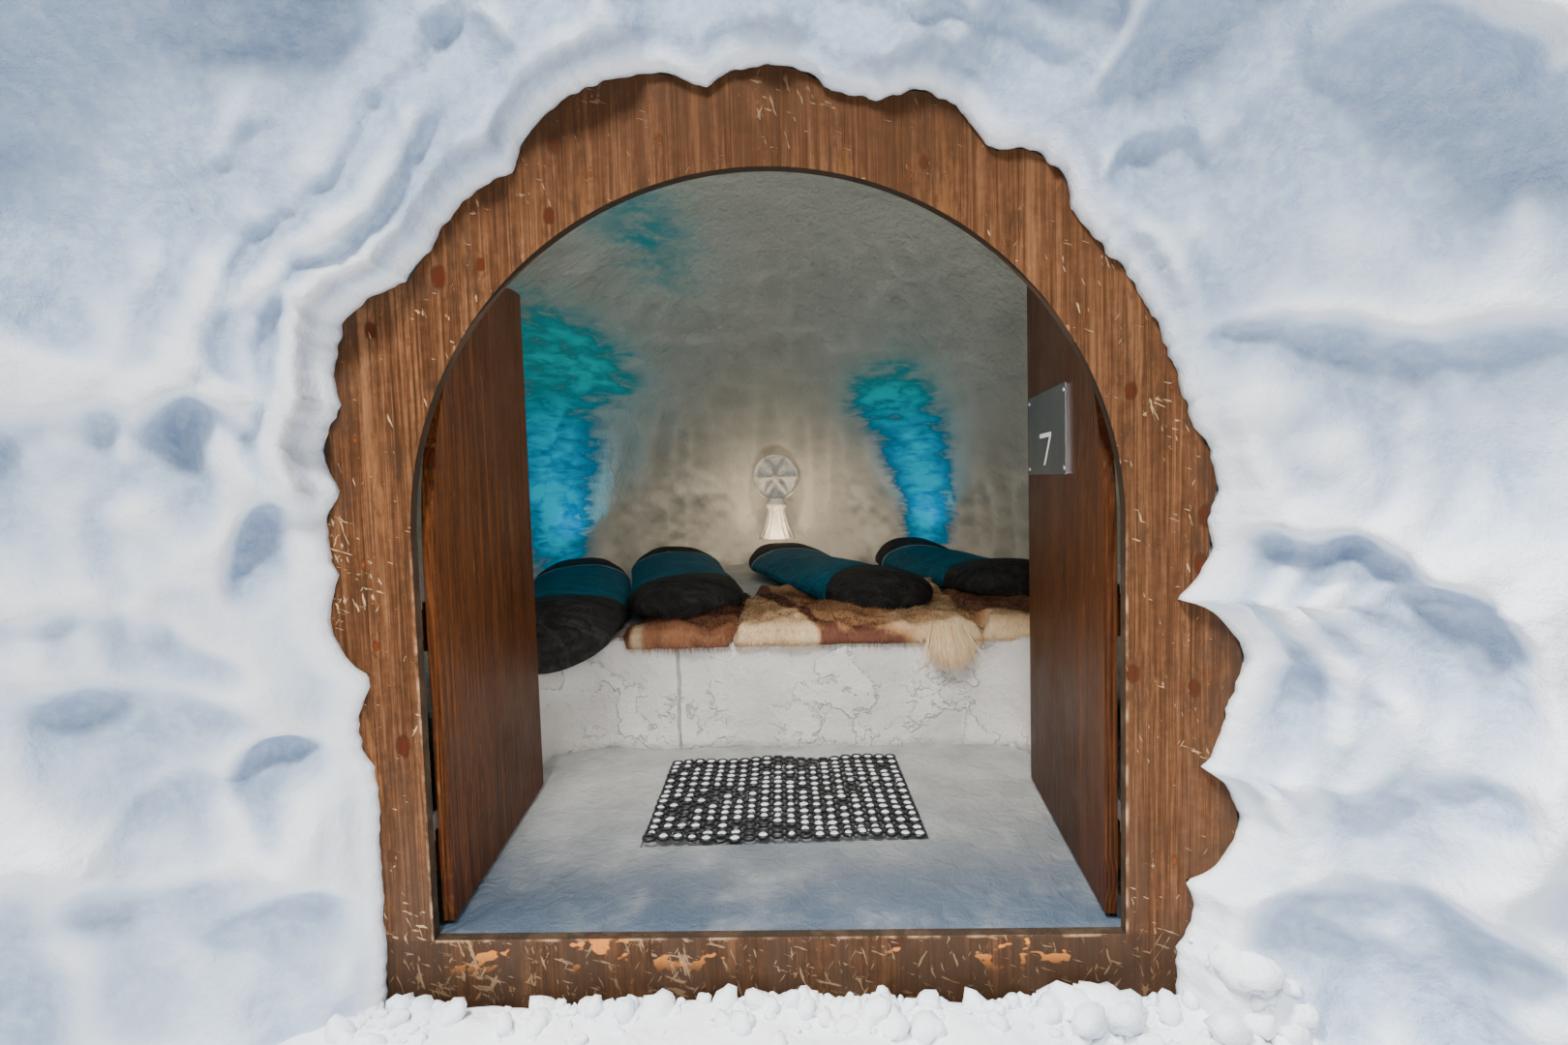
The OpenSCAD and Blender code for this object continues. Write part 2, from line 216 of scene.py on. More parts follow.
def lamp(name, kind, place, towards, power, colour, **settings):
    """Light of one of Blender's kinds, aimed at a point and out of the camera's sight."""
    data = bpy.data.lights.new(name, kind)
    data.energy, data.color = power, colour
    for key, value in settings.items():
        setattr(data, key, value)
    made = bpy.data.objects.new(name, data)
    made.location = place
    made.rotation_mode = "QUATERNION"
    made.rotation_quaternion = (Vector(towards) - Vector(place)).to_track_quat("-Z", "Y")
    made.visible_camera = False
    bpy.context.collection.objects.link(made)


lamp("key light", "AREA", (-2.4, -3.1, 7.0), LIT_POINT, 1250, (1.0, 0.98, 0.96), size=0.9)
lamp("front light", "AREA", (-0.5, -4.9, 5.0), LIT_POINT, 400, (1.0, 0.99, 0.97), size=0.8)
lamp("fill light", "AREA", (5.0, -6.0, 3.0), LIT_POINT, 40, (0.85, 0.93, 1.0), size=4.0)


# Mouth of packed snow round the doorway. Snow was thrown over the portal panel's rim and cut
# back with a shovel, which left round hollows with soft ridges between them.
SPRING_H = 0.895                 # height of the jambs above the sill
ARCH_Z = FLOOR_Z + SPRING_H
LIP_RADIUS, LIP_MID, LIP_OUT = 0.09, 1.56, 0.392
FLARE = radians(39.5)
RIM_THICK = 0.030                # thickness of the snow where it laps the wood
SNOW_BACK = 0.038                # how far the snow runs in behind the panel's face
# Rows of shovel scoops round the doorway: distance from its middle, how many, radius, depth
SCOOP_ROWS = [(1.06, 14, 0.12, 0.070), (1.15, 16, 0.19, 0.115), (1.28, 13, 0.25, 0.150),
              (1.45, 11, 0.33, 0.190)]
SCOOP_BLEND, SCOOP_LIMIT = 7, 0.17    # how sharply scoops meet, and the deepest of them
ROLL_WIDE, ROLL_HIGH = 0.082, 0.060   # rolls of snow that lap one another beside the wood
MOUTH_STEP = 0.0095              # spacing of the mesh over the mouth

rng = np.random.default_rng(11)
LATTICE = rng.random((32, 32, 32)) * 2 - 1


def lumps(points, size, seed=0):
    """Smooth random height from -1 to 1 at each point, with swells of the given size."""
    q = np.asarray(points, float) / size + 7.3 * seed
    base = np.floor(q).astype(int)
    f = q - base
    f = f * f * (3 - 2 * f)
    total = np.zeros(len(q))
    for corner in np.ndindex(2, 2, 2):
        weight = np.prod(np.where(corner, f, 1 - f), axis=1)
        i, j, k = ((base + corner) % 32).T
        total += weight * LATTICE[i, j, k]
    return total


def smoothstep(low, high, value):
    """0 below low and 1 above high, with a smooth change between them."""
    t = np.clip((value - low) / (high - low), 0, 1)
    return t * t * (3 - 2 * t)


def box_mean(grid, reach):
    """Mean of a grid of numbers over a square window round each."""
    for axis in (0, 1):
        pad = [(0, 0), (0, 0)]
        pad[axis] = (reach + 1, reach)
        total = np.cumsum(np.pad(grid, pad, "edge"), axis)
        first, last = (np.take(total, np.arange(grid.shape[axis]) + start, axis)
                       for start in (0, 2 * reach + 1))
        grid = (last - first) / (2 * reach + 1)
    return grid


def grid_faces(rows, columns, wrap_rows=False, wrap_columns=False):
    """Quads of a grid of points numbered row by row."""
    faces = []
    for i in range(rows if wrap_rows else rows - 1):
        for j in range(columns if wrap_columns else columns - 1):
            a, b = i * columns + j, i * columns + (j + 1) % columns
            c = (i + 1) % rows * columns
            faces.append((a, b, c + (j + 1) % columns, c + j))
    return faces


def outward(thing, close_ends=False):
    """Turns every face of a mesh outwards, once its open ends are closed if that is asked."""
    bm = bmesh.new()
    bm.from_mesh(thing.data)
    if close_ends:
        bmesh.ops.holes_fill(bm, edges=[e for e in bm.edges if e.is_boundary], sides=0)
    bmesh.ops.recalc_face_normals(bm, faces=bm.faces)
    bm.to_mesh(thing.data)
    bm.free()


def note(thing, name, values):
    """Keeps a number for each point of a mesh, for its finish to read."""
    thing.data.attributes.new(name, "FLOAT", "POINT").data.foreach_set(
        "value", np.asarray(values, np.float32))


def ray_target(*meshes):
    """Meshes joined into one target for rays."""
    points, faces = [], []
    for mesh in meshes:
        faces += [tuple(i + len(points) for i in face.vertices) for face in mesh.polygons]
        points += [v.co for v in mesh.vertices]
    return BVHTree.FromPolygons(points, faces)


def doorway_columns(step):
    """Where the doorway's outline runs: centre and outward direction in x and z for each column."""
    sides = np.linspace(0, ARCH_Z, round(ARCH_Z / step), endpoint=False)
    turns = np.linspace(pi, 0, round(pi * 1.2 / step))
    centres = np.concatenate([
        np.c_[0 * sides, sides], np.c_[0 * turns, 0 * turns + ARCH_Z],
        np.c_[0 * sides, sides[::-1]]])
    outwards = np.concatenate([
        np.c_[0 * sides - 1, 0 * sides], np.c_[np.cos(turns), np.sin(turns)],
        np.c_[0 * sides + 1, 0 * sides]])
    return centres, outwards


panel_target = ray_target(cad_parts["portal_panel"].data)


def panel_reach(centre, direction):
    """Distance from the doorway's middle to the panel's edge."""
    start = Vector((centre[0] + 2 * direction[0], PORTAL_Y + 0.02, centre[1] + 2 * direction[1]))
    hit = panel_target.ray_cast(start, Vector((-direction[0], 0, -direction[1])))
    return 2 - hit[3]


mouth_centre, mouth_away = doorway_columns(MOUTH_STEP)
edge_at = np.array([panel_reach(c, d) for c, d in zip(mouth_centre, mouth_away)])
columns = len(edge_at)
around = np.c_[mouth_centre[:, 0] + mouth_away[:, 0], np.zeros(columns),
               mouth_centre[:, 1] + mouth_away[:, 1]]
teeth = 0.007 * lumps(around, 0.06) + 0.005 * lumps(around, 0.018, 3) - 0.002
snow_edge = edge_at + teeth


def mouth_profile(edge, tooth):
    """Closed profile of the snow at one place: radius, distance in front, and slope there."""
    bite = edge - tooth + 0.004
    start = [(edge + 0.05, -SNOW_BACK, -pi / 2), (bite, -0.030, -pi / 2),
             (bite + max(tooth, 0), -0.001, 0), (edge, 0.0015, pi / 3),
             (edge + 0.001, 0.55 * RIM_THICK, pi / 3)]
    end, end_ahead = LIP_MID - LIP_RADIUS * sin(FLARE), LIP_OUT + LIP_RADIUS * cos(FLARE)
    flare = [(edge + 0.006 + s * (end - edge - 0.006), RIM_THICK + s * (end_ahead - RIM_THICK),
              FLARE) for s in np.linspace(0, 1, 78)]
    lip = [(LIP_MID - LIP_RADIUS * sin(a), LIP_OUT + LIP_RADIUS * cos(a), a)
           for a in np.linspace(FLARE, -pi / 2, 16)[1:]]
    outside = [(LIP_MID + LIP_RADIUS - 0.06 * s, LIP_OUT - s * (LIP_OUT + SNOW_BACK), -pi / 2)
               for s in np.linspace(0, 1, 14)[1:]]
    back = [(1.45, -SNOW_BACK, pi), (1.25, -SNOW_BACK, pi)]
    return np.array(start + flare + lip + outside + back)


def scoops():
    """Centre, radius and outward direction of the round hollows, at random along each row."""
    slant = np.array([sin(FLARE), cos(FLARE)])
    for reach, count, size, deep in SCOOP_ROWS:
        for k in range(count):
            radius = size * rng.uniform(0.75, 1.35)
            at = (k + rng.uniform(0.2, 0.8)) / count * len(mouth_centre)
            centre, away = mouth_centre[int(at)], mouth_away[int(at)]
            from_middle = reach + rng.uniform(-0.06, 0.06)
            ahead = RIM_THICK + (from_middle - 1.0) / np.tan(pi / 2 - FLARE)
            out = from_middle - (radius - deep * rng.uniform(0.6, 1.3)) * slant[0]
            front = ahead + (radius - deep * rng.uniform(0.6, 1.3)) * slant[1]
            yield np.array([centre[0] + out * away[0], PORTAL_Y - front,
                            centre[1] + out * away[1]]), radius, away


def mouth_snow():
    """Mouth as one mesh: the profile at each column, with its scoops, swells and rolls."""
    profiles = np.stack([mouth_profile(e, t) for e, t in zip(snow_edge, teeth)], axis=1)
    reach, ahead, slope = np.moveaxis(profiles, 2, 0)
    rows = reach.shape[0]
    away_x, away_z = mouth_away[None, :, 0], mouth_away[None, :, 1]
    points = np.stack([mouth_centre[None, :, 0] + reach * away_x, PORTAL_Y - ahead,
                       mouth_centre[None, :, 1] + reach * away_z], 2).reshape(-1, 3)
    normal = np.stack([-np.sin(slope) * away_x, -np.cos(slope), -np.sin(slope) * away_z],
                      2).reshape(-1, 3)
    beside = (reach - snow_edge[None]).ravel()
    from_edge = np.clip((beside - 0.006) / 0.05, 0, 1)
    front = ((slope > -1.2) & (slope < 1.0)).ravel() * from_edge
    warped = points + np.stack([
        0.095 * lumps(points, 0.28, 31 + k) + 0.030 * lumps(points, 0.10, 41 + k)
        for k in range(3)], 1)
    depth = np.zeros(len(points))
    for middle, radius, way in scoops():
        uphill = np.array([way[0] * 0.8, 0, way[1] * 0.5 + 0.5])
        w = warped - middle
        b = np.einsum("ij,ij->i", w, normal)
        inside = radius ** 2 - np.einsum("ij,ij->i", w, w)
        cut = np.where(inside > 0, b + np.sqrt(np.maximum(inside + b * b, 0)), 0)
        cut *= np.clip(0.70 + 0.95 * (w @ uphill) / radius, 0.05, 1.6)
        depth += np.maximum(cut, 0) ** SCOOP_BLEND
    dished = np.clip((slope.ravel() + 0.1) / 0.6, 0, 1)
    depth = np.minimum(depth ** (1 / SCOOP_BLEND), SCOOP_LIMIT) * dished
    rolled = np.clip(0.60 - 0.40 * np.tile(mouth_away[:, 0], rows), 0.5, 1) \
        * smoothstep(0.2, 0.8, points[:, 2]) * (1 - smoothstep(0.12, 0.40, beside)) \
        * smoothstep(-0.7, 0.0, lumps(points, 0.30, 62))
    rolls = np.abs(np.sin(pi * (beside / ROLL_WIDE + 0.7 * lumps(points, 0.24, 61))))
    rolls = ROLL_HIGH * rolls ** 0.75 * rolled
    swell = (0.045 * lumps(points, 0.36, 1) + 0.024 * lumps(points, 0.14, 2)
             + 0.0065 * lumps(points, 0.055, 4) + 0.0016 * lumps(points, 0.02, 5)
             + rolls) * from_edge
    room_left = np.maximum(ahead.ravel() - 0.6 * RIM_THICK, 0) / np.cos(FLARE)
    moved = np.minimum(depth, room_left) * front - np.maximum(swell, -0.6 * room_left) * front
    sunk = box_mean(moved.reshape(rows, columns), 1)
    points -= normal * sunk.reshape(-1, 1)
    made = mesh_object("mouth_snow", points, grid_faces(rows, columns, wrap_rows=True),
                       outdoor_snow)
    outward(made, close_ends=True)
    # Painted shade: bluer and darker in the hollows, and over the top of the mouth, which faces down.
    hollow = 0.40 + 6 * (sunk - box_mean(sunk, 20)) + 16 * (sunk - box_mean(sunk, 5)) \
        + 0.72 * np.maximum(away_z, 0) ** 2
    note(made, "hollow", np.clip(hollow.ravel() * front, 0, 1))
    return made


def snow_finish():
    """Packed snow: nearly white with a fine sugary grain, and painted dappled light and blue shade.
    """
    f = Finish("packed snow", 0.62)
    shade, middle, light = (0.34, 0.44, 0.60), (0.66, 0.76, 0.90), (0.92, 0.94, 0.97)
    # Painted light and shade: broad dappled patches, and blue shade where hollow is high.
    dappled_light = f.noise(2.1, 4, 0.55)
    mask = f.step(dappled_light - 0.85 * f.attribute("hollow") + 0.19, 0.0, 0.74)
    colour = f.ramp(mask, (0.0, shade), (1.0, light), (0.62, middle))
    pale = f.step(f.noise(38, 3, 0.6), 0.35, 0.75)
    clods = f.bump(f.noise(26, 5, 0.62), 0.010)
    crystals = f.bump(f.noise(420, 2, 0.6), 0.0016, clods)
    return f.wear(Base_Color=f.mix(colour, light, 0.25 * pale), Normal=crystals,
                  Roughness=0.62 + 0.25 * (pale - 0.5))


outdoor_snow = snow_finish()
mouth = mouth_snow()
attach(mouth, "igloo")
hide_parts("mouth_pier_left", "mouth_pier_right", "mouth_arch_left", "mouth_arch_right")


# Shell of the igloo. Snow was blown over a mould and packed, so the dome is one mass with no
# blocks in it, rounded by wind and thaw, with more snow banked up against its foot.
ROOM_R = 2.1
DOME_Z = FLOOR_Z + 0.34
SHELL_VOXEL = 0.052
LINING_DEPTH = 0.05              # room left inside the shell for its finer lining
LINED_TURNS = (-40, -28, 208, 220)   # degrees round the room: start, full depth, and the same back
# Distances from the doorway's middle where the skin starts to come out from behind the mouth's
# snow, where it is out, and where it is no longer moved
HIDDEN_TO, OUT_FROM, MOVED_TO = 1.50, 1.66, 1.70


def copy_of(name, nodes):
    """One mesh of copies of CAD nodes, merged."""
    bm = bmesh.new()
    for node in nodes:
        bm.from_mesh(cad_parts[node].data)
    bmesh.ops.remove_doubles(bm, verts=bm.verts, dist=1e-5)
    mesh = bpy.data.meshes.new(name)
    bm.to_mesh(mesh)
    bm.free()
    made = bpy.data.objects.new(name, mesh)
    bpy.context.collection.objects.link(made)
    return made


def finished(thing):
    """Keeps the mesh that a thing's modifiers make, and drops the modifiers."""
    shape = thing.evaluated_get(bpy.context.evaluated_depsgraph_get())
    mesh = bpy.data.meshes.new_from_object(shape)
    thing.modifiers.clear()
    thing.data = mesh
    return thing


def remeshed(thing, voxel, rounds):
    """One closed skin round a thing's solids, its edges softened."""
    remesh = thing.modifiers.new("voxels", "REMESH")
    remesh.mode, remesh.voxel_size, remesh.use_smooth_shade = "VOXEL", voxel, True
    soft = thing.modifiers.new("soft", "SMOOTH")
    soft.iterations = rounds
    return finished(thing)


def skin_of(thing):
    """Points and outward directions of a mesh."""
    points = np.empty(3 * len(thing.data.vertices))
    thing.data.vertices.foreach_get("co", points)
    normals = np.empty(len(points), np.float32)
    thing.data.vertex_normals.foreach_get("vector", normals)
    return points.reshape(-1, 3), normals.reshape(-1, 3).astype(float)


def move_to(thing, points):
    """Puts a mesh's points in new places."""
    thing.data.vertices.foreach_set("co", points.ravel())
    thing.data.update()


def shell_skin(nodes):
    """Skin of the igloo, cut back behind the mouth's snow and where the lining covers it."""
    skin = remeshed(copy_of("igloo_shell", nodes), SHELL_VOXEL, 4)
    points, normals = skin_of(skin)
    x, y, z = points.T
    grounded = z < 0.02
    reach = np.where(z > ARCH_Z, np.hypot(x, z - ARCH_Z), np.abs(x))
    ahead = PORTAL_Y - y
    from_centre = np.hypot(np.hypot(x, y), np.maximum(z - DOME_Z, 0))
    in_room = (from_centre < ROOM_R + 0.08) & (ahead < -0.08)
    swell = 0.030 * lumps(points, 0.62, 6) + 0.012 * lumps(points, 0.24, 7) \
        + 0.004 * lumps(points, 0.09, 8)
    points += normals * np.where(grounded | in_room, 0, swell)[:, None]
    behind = 0.5 * (1 - smoothstep(HIDDEN_TO, OUT_FROM, reach))
    sunk = (ahead > -0.03) & (reach < MOVED_TO)
    ahead = np.where(sunk, np.maximum(-0.03, ahead - 0.012 - behind), ahead)
    points[:, 1] = np.where(sunk, PORTAL_Y - ahead, points[:, 1])
    turn = np.degrees(np.arctan2(y, x)) % 360
    turn = np.where(turn > 270, turn - 360, turn)
    lined = in_room * smoothstep(*LINED_TURNS[:2], turn) \
        * (1 - smoothstep(*LINED_TURNS[2:], turn)) * smoothstep(FLOOR_Z + 0.3, FLOOR_Z + 0.36, z)
    points -= normals * (LINING_DEPTH * lined)[:, None]
    points[grounded, 2] = 0
    move_to(skin, points)
    note(skin, "hollow", 0 * z)
    skin.data.materials.append(outdoor_snow)
    return skin


shell_nodes = [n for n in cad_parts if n.startswith(("wall_", "dome_"))]
mouth_nodes = [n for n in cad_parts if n.startswith("mouth_")]
shell = shell_skin(shell_nodes + mouth_nodes)
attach(shell, "igloo")
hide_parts(*shell_nodes)


# Inside of the dome. The snow was shaved with a spade while the mould was warm, in tall hollows
# low down and short ones higher up, and lamps sunk behind the beds wash over it. Their light, and
# the shade in the shave marks and the niche, are also painted into the snow's colour and glow.
FINE_TURN, COARSE_TURN = 0.5, 2.5        # degrees between the mesh's columns
RELIEF_TURNS = np.radians((-30, -22, 202, 210))   # where the relief starts, is full, and ends
RELIEF_TOP = (1.0, 1.25)                 # rise, in radians, over which it fades overhead
NICHE = (-0.11, 1.10, 0.21, 0.35, 0.055)   # x, height, half width, half height, depth
# Painted patches of coloured light: middle in x and height, half width and half height, strength
BLUE_GLOWS = [(-1.47, 0.98, 0.15, 0.34, 1.1), (-1.39, 1.45, 0.20, 0.28, 0.75),
              (-1.20, 1.88, 0.28, 0.22, 0.60), (0.91, 0.96, 0.14, 0.27, 1.3),
              (0.81, 1.38, 0.18, 0.24, 0.90), (0.62, 1.68, 0.24, 0.20, 0.60),
              (-0.66, 2.42, 0.28, 0.20, 0.20)]
# Patches of painted warm light, listed the same way.
WARM_GLOWS = [(-0.05, 1.00, 0.66, 0.44, 1.2), (0.05, 0.80, 0.6, 0.25, 0.6),
              (0.0, 0.80, 1.7, 0.55, 0.60)]


def over_grid(first, second):
    """Two rows of numbers laid out over a grid of points, row by row."""
    return (grid.ravel() for grid in np.meshgrid(first, second, indexing="ij"))


def sheet_faces(rows, columns):
    """Faces of a sheet's front, its back, numbered after the front, and the rim between."""
    front = grid_faces(rows, columns)
    count = rows * columns
    rim = [*range(columns), *range(2 * columns - 1, count, columns),
           *range(count - 2, count - columns - 1, -1), *range(count - 2 * columns, 0, -columns)]
    return (front + [tuple(count + i for i in reversed(face)) for face in front]
            + [(a, b, b + count, a + count) for a, b in zip(rim, rim[-1:] + rim[:-1])])


turns = np.radians(np.concatenate([np.arange(-30, 40, COARSE_TURN),
                                   np.arange(40, 140, FINE_TURN),
                                   np.arange(140, 211, COARSE_TURN)]))
rises = np.radians(np.concatenate([np.arange(1.2, 66, FINE_TURN), np.arange(66, 89.5, 0.9)]))
rise, turn = over_grid(rises, turns)
outward_way = np.stack([np.cos(rise) * np.cos(turn), np.cos(rise) * np.sin(turn),
                        np.sin(rise)], 1)
inner = outward_way * ROOM_R + (0, 0, DOME_Z)
arc = np.stack([turn * ROOM_R, inner[:, 2], 0 * turn], 1)
low = 1 - smoothstep(1.3, 1.9, inner[:, 2])
tall = 1 - np.abs(lumps(arc / (0.13, 0.50, 1), 1, 11))
short = 1 - np.abs(lumps(arc / (0.30, 0.13, 1) + arc[:, :1] * (0, 0.3, 0), 1, 12))
relief = low * 0.028 * tall ** 2 + (1 - low) * 0.013 * short ** 2 \
    + 0.0045 * lumps(inner, 0.07, 13) + 0.0020 * lumps(inner, 0.028, 14)
relief *= smoothstep(*RELIEF_TURNS[:2], turn) \
    * (1 - smoothstep(*RELIEF_TURNS[2:], turn)) * (1 - smoothstep(*RELIEF_TOP, rise))
nx, nz, half_x, half_z, sunk_by = NICHE
in_niche = np.hypot((inner[:, 0] - nx) / half_x, (inner[:, 2] - nz) / half_z)
in_niche = (1 - smoothstep(0.82, 1.0, in_niche)) * (inner[:, 1] > 0)
inner -= outward_way * (relief * (1 - in_niche) - sunk_by * in_niche * 0.8)[:, None]


def glow_at(places, spots):
    """Sum of soft patches of painted light at each place on the back of the room."""
    total = np.zeros(len(places))
    for gx, gz, half_x, half_z, strength in spots:
        away = np.hypot((places[:, 0] - gx) / half_x, (places[:, 2] - gz) / half_z)
        total += strength * np.exp(-1.3 * away ** 2) * (places[:, 1] > 0)
    return total


outer = outward_way * (ROOM_R + LINING_DEPTH + 0.03 + sunk_by * in_niche[:, None]) + (0, 0, DOME_Z)
rows, columns = len(rises), len(turns)
lining = mesh_object("room_lining", np.concatenate([inner, outer]), sheet_faces(rows, columns))
outward(lining)
relief = relief.reshape(rows, columns)
# Painted shading of the glow: stronger or weaker with the slope of the shave marks.
slope = np.gradient(relief, axis=0).ravel() / (FINE_TURN * pi / 180 * ROOM_R)
facing = np.clip(0.95 - 3.2 * slope, 0.12, 1.7)
# Painted shade in the grooves and the niche, and the lamps' painted blue and warm light, for the
# finish to read.
for label, values in (
        ("groove_shade", np.clip(0.5 + 45 * (relief - box_mean(relief, 7)).ravel(), 0, 1)),
        ("niche", in_niche),
        ("blue", np.clip(glow_at(inner, BLUE_GLOWS) * facing, 0, 1.2)),
        ("warm", np.clip(glow_at(inner, WARM_GLOWS) * facing, 0, 1.2))):
    note(lining, label, np.tile(values, 2))

f = Finish("shaved snow", 0.7, Specular_IOR_Level=0.25, Emission_Strength=1.0)
tone = f.mix((0.43, 0.44, 0.385), (0.51, 0.51, 0.445), f.step(f.noise(2.6, 4), 0.3, 0.7))
# Painted shade in the grooves of the shave marks.
tone = f.mix(f.mix(tone, (0.22, 0.23, 0.19), 0.62), tone, f.attribute("groove_shade"))
# Painted shade in the niche.
tone = f.mix(tone, (0.13, 0.13, 0.11), f.attribute("niche") * 0.7)
leaning = f.scaled((6, 6, 24), turn=(0, 0.25, 0))
streaks = f.step(f.noise(1, 4, 0.6, at=leaning, twist=0.7), 0.32, 0.60)
# Painted light: the blue lamps' light glows as emission, streaked and tealer higher up, and the warm
# light where no blue falls.
blue = f.attribute("blue") * (0.50 + 0.60 * streaks)
lit = f.ramp(blue, (0.0, (0, 0, 0)), (1.0, (0.0, 0.31, 0.41)), (0.18, (0.0, 0.045, 0.068)),
             (0.40, (0.0, 0.125, 0.215)), (0.70, (0.0, 0.22, 0.34)))
lit = f.mix(lit, f.ramp(blue, (0.0, (0, 0, 0)), (0.6, (0.0, 0.22, 0.21))),
            f.step(f.axis("Z"), 1.35, 1.85))
unlit = 1 - f.step(blue, 0.05, 0.35)
lit = f.mix(lit, (0.36, 0.28, 0.19), f.attribute("warm") * unlit * 0.75)
# Painted light also in the base colour, which turns blue where the blue light falls.
lining.data.materials.append(f.wear(
    Base_Color=f.mix(tone, (0.0, 0.055, 0.10), f.step(blue, 0.0, 0.30)), Emission_Color=lit,
    Normal=f.bump(f.noise(300, 2), 0.0012, f.bump(
        f.noise(22, 5, 0.6), 0.014, f.bump(f.noise((9, 9, 5), 4, 0.66), 0.030)))))
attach(lining, "igloo")
for name, place, towards, power, colour, cone in (
        ("blue lamp left", (-1.34, 1.38, 0.74), (-1.36, 1.52, 1.5), 14, (0.0, 0.62, 1.0), 90),
        ("blue lamp right", (0.90, 1.72, 0.74), (0.88, 1.83, 1.5), 12, (0.0, 0.62, 1.0), 90),
        ("warm lamp", (-0.11, 1.72, 0.76), (-0.11, 2.05, 1.15), 9, (1.0, 0.74, 0.46), 130)):
    lamp(name, "SPOT", place, towards, power, colour, spot_size=radians(cone), spot_blend=1.0,
         shadow_soft_size=0.06)
lamp("room light", "POINT", (0, 0.1, 1.75), (0, 0.1, 0), 4, (1.0, 0.92, 0.80),
     shadow_soft_size=0.5)
lamp("daylight through the door", "AREA", (0, PORTAL_Y - 0.05, 1.05), (0, 1.0, 0.75), 17,
     (1.0, 0.97, 0.92), size=1.3)


# Sleeping platform and the raised snow beside the well, of snow packed behind boards and cut
# to a straight front. The front has come away in flakes, and its edge is worn round.
platform_nodes = ["platform_left", "platform_right", "bench_left", "bench_right"]
PLATFORM_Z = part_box("platform_left")[1].z
PLATFORM_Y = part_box("platform_left")[0].y
JOINT_X = -0.405                 # where the boards met and left a line up the front
# Hollow curve of snow where a block meets the floor: how far out, how high, how far it sinks
FOOT_OUT, FOOT_HIGH, FOOT_SUNK = 0.035, 0.07, 0.030


def snow_block(name, nodes, voxel, rounds, roughness, material):
    """Block of packed snow with worn edges in place of CAD nodes."""
    block = remeshed(copy_of(name, nodes), voxel, rounds)
    points, normals = skin_of(block)
    rough = 0.010 * lumps(points, 0.20, 21) + 0.005 * lumps(points, 0.07, 22) \
        + 0.0025 * lumps(points, 0.035, 23)
    flakes = smoothstep(0.05, 0.12, lumps(points * (1, 1, 1.5), 0.11, 24)) * 0.006
    points += normals * ((rough - flakes) * roughness - 0.002)[:, None]
    z = points[:, 2]
    foot = np.clip((FLOOR_Z + FOOT_HIGH - z) / FOOT_HIGH, 0, 1) ** 2 * (z > 0.1)
    points[:, :2] += normals[:, :2] * (FOOT_OUT * foot)[:, None]
    z -= FOOT_SUNK * smoothstep(0.30, 0.75, foot)
    z[z < 0.02] = 0
    move_to(block, points)
    block.data.materials.append(material)
    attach(block, "igloo")
    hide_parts(*nodes)
    return block


f = Finish("platform snow", 0.68)
joint = f.axis("X") - JOINT_X + 0.03 * (f.noise(3, 2) - 0.5)
joint = f.step(joint.maths("ABSOLUTE"), 0.008, 0.001) \
    * f.step(f.axis("Y"), PLATFORM_Y + 0.04, PLATFORM_Y + 0.03)
flake = f.step(f.noise(5.5, 6, 0.62, twist=0.25), 0.50, 0.535) * f.step(f.noise(2.6, 2), 0.40, 0.60)
tone = f.mix((0.55, 0.525, 0.49), (0.68, 0.645, 0.60), f.step(f.noise(3.4, 4), 0.3, 0.7))
tone = f.mix(tone, (0.74, 0.72, 0.68), 0.55 * flake)
platform_snow = f.wear(
    Base_Color=f.mix(tone, (0.30, 0.29, 0.27), 0.6 * joint),
    Normal=f.bump(f.noise(240, 3, 0.6), 0.0016, f.bump(
        f.noise(30, 5, 0.65), 0.009, f.bump(flake - joint, 0.008))))
snow_block("sleeping_platform", platform_nodes, 0.024, 4, 0.8, platform_snow)


# Floor of the well and the snow trodden against the foot of the panel. Boots and the leaves
# have smoothed the floor, which is icy; near the door it is painted darker and bluer, as shade.


def dress(material, *nodes):
    """Gives CAD nodes a finish in place of their plain one."""
    for node in nodes:
        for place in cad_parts[node].material_slots:
            place.material = material


f = Finish("trodden floor", 0.5)
door_shade = f.step(f.axis("Y"), -0.7, -1.5)
tone = f.mix((0.32, 0.32, 0.31), (0.44, 0.44, 0.42), f.step(f.noise(5, 5, 0.6), 0.35, 0.65))
# Painted shade: darker and bluer in patches towards the door.
tone = f.mix(tone, (0.055, 0.080, 0.115), door_shade * f.step(f.noise(4.2, 4, 0.6), 0.05, 0.60))
f.wear(Base_Color=tone, Roughness=f.noise(14) * 0.4 + 0.35,
       Normal=f.bump(f.noise(210, 3, 0.6), 0.0018,
                     f.bump(f.noise(17, 5, 0.62, twist=0.8), 0.013)))
dress(f.material, "floor")
doorstep = snow_block("trodden_doorstep", ["doorstep"], 0.016, 5, 1.6, outdoor_snow)
note(doorstep, "hollow", np.zeros(len(doorstep.data.vertices)))


# Portal panel. Three-ply spruce board, stained brown and weathered, its grain upright. Boots and
# shovels have scratched it, and the stain is knocked off along the sill.
DOOR_R = 0.765


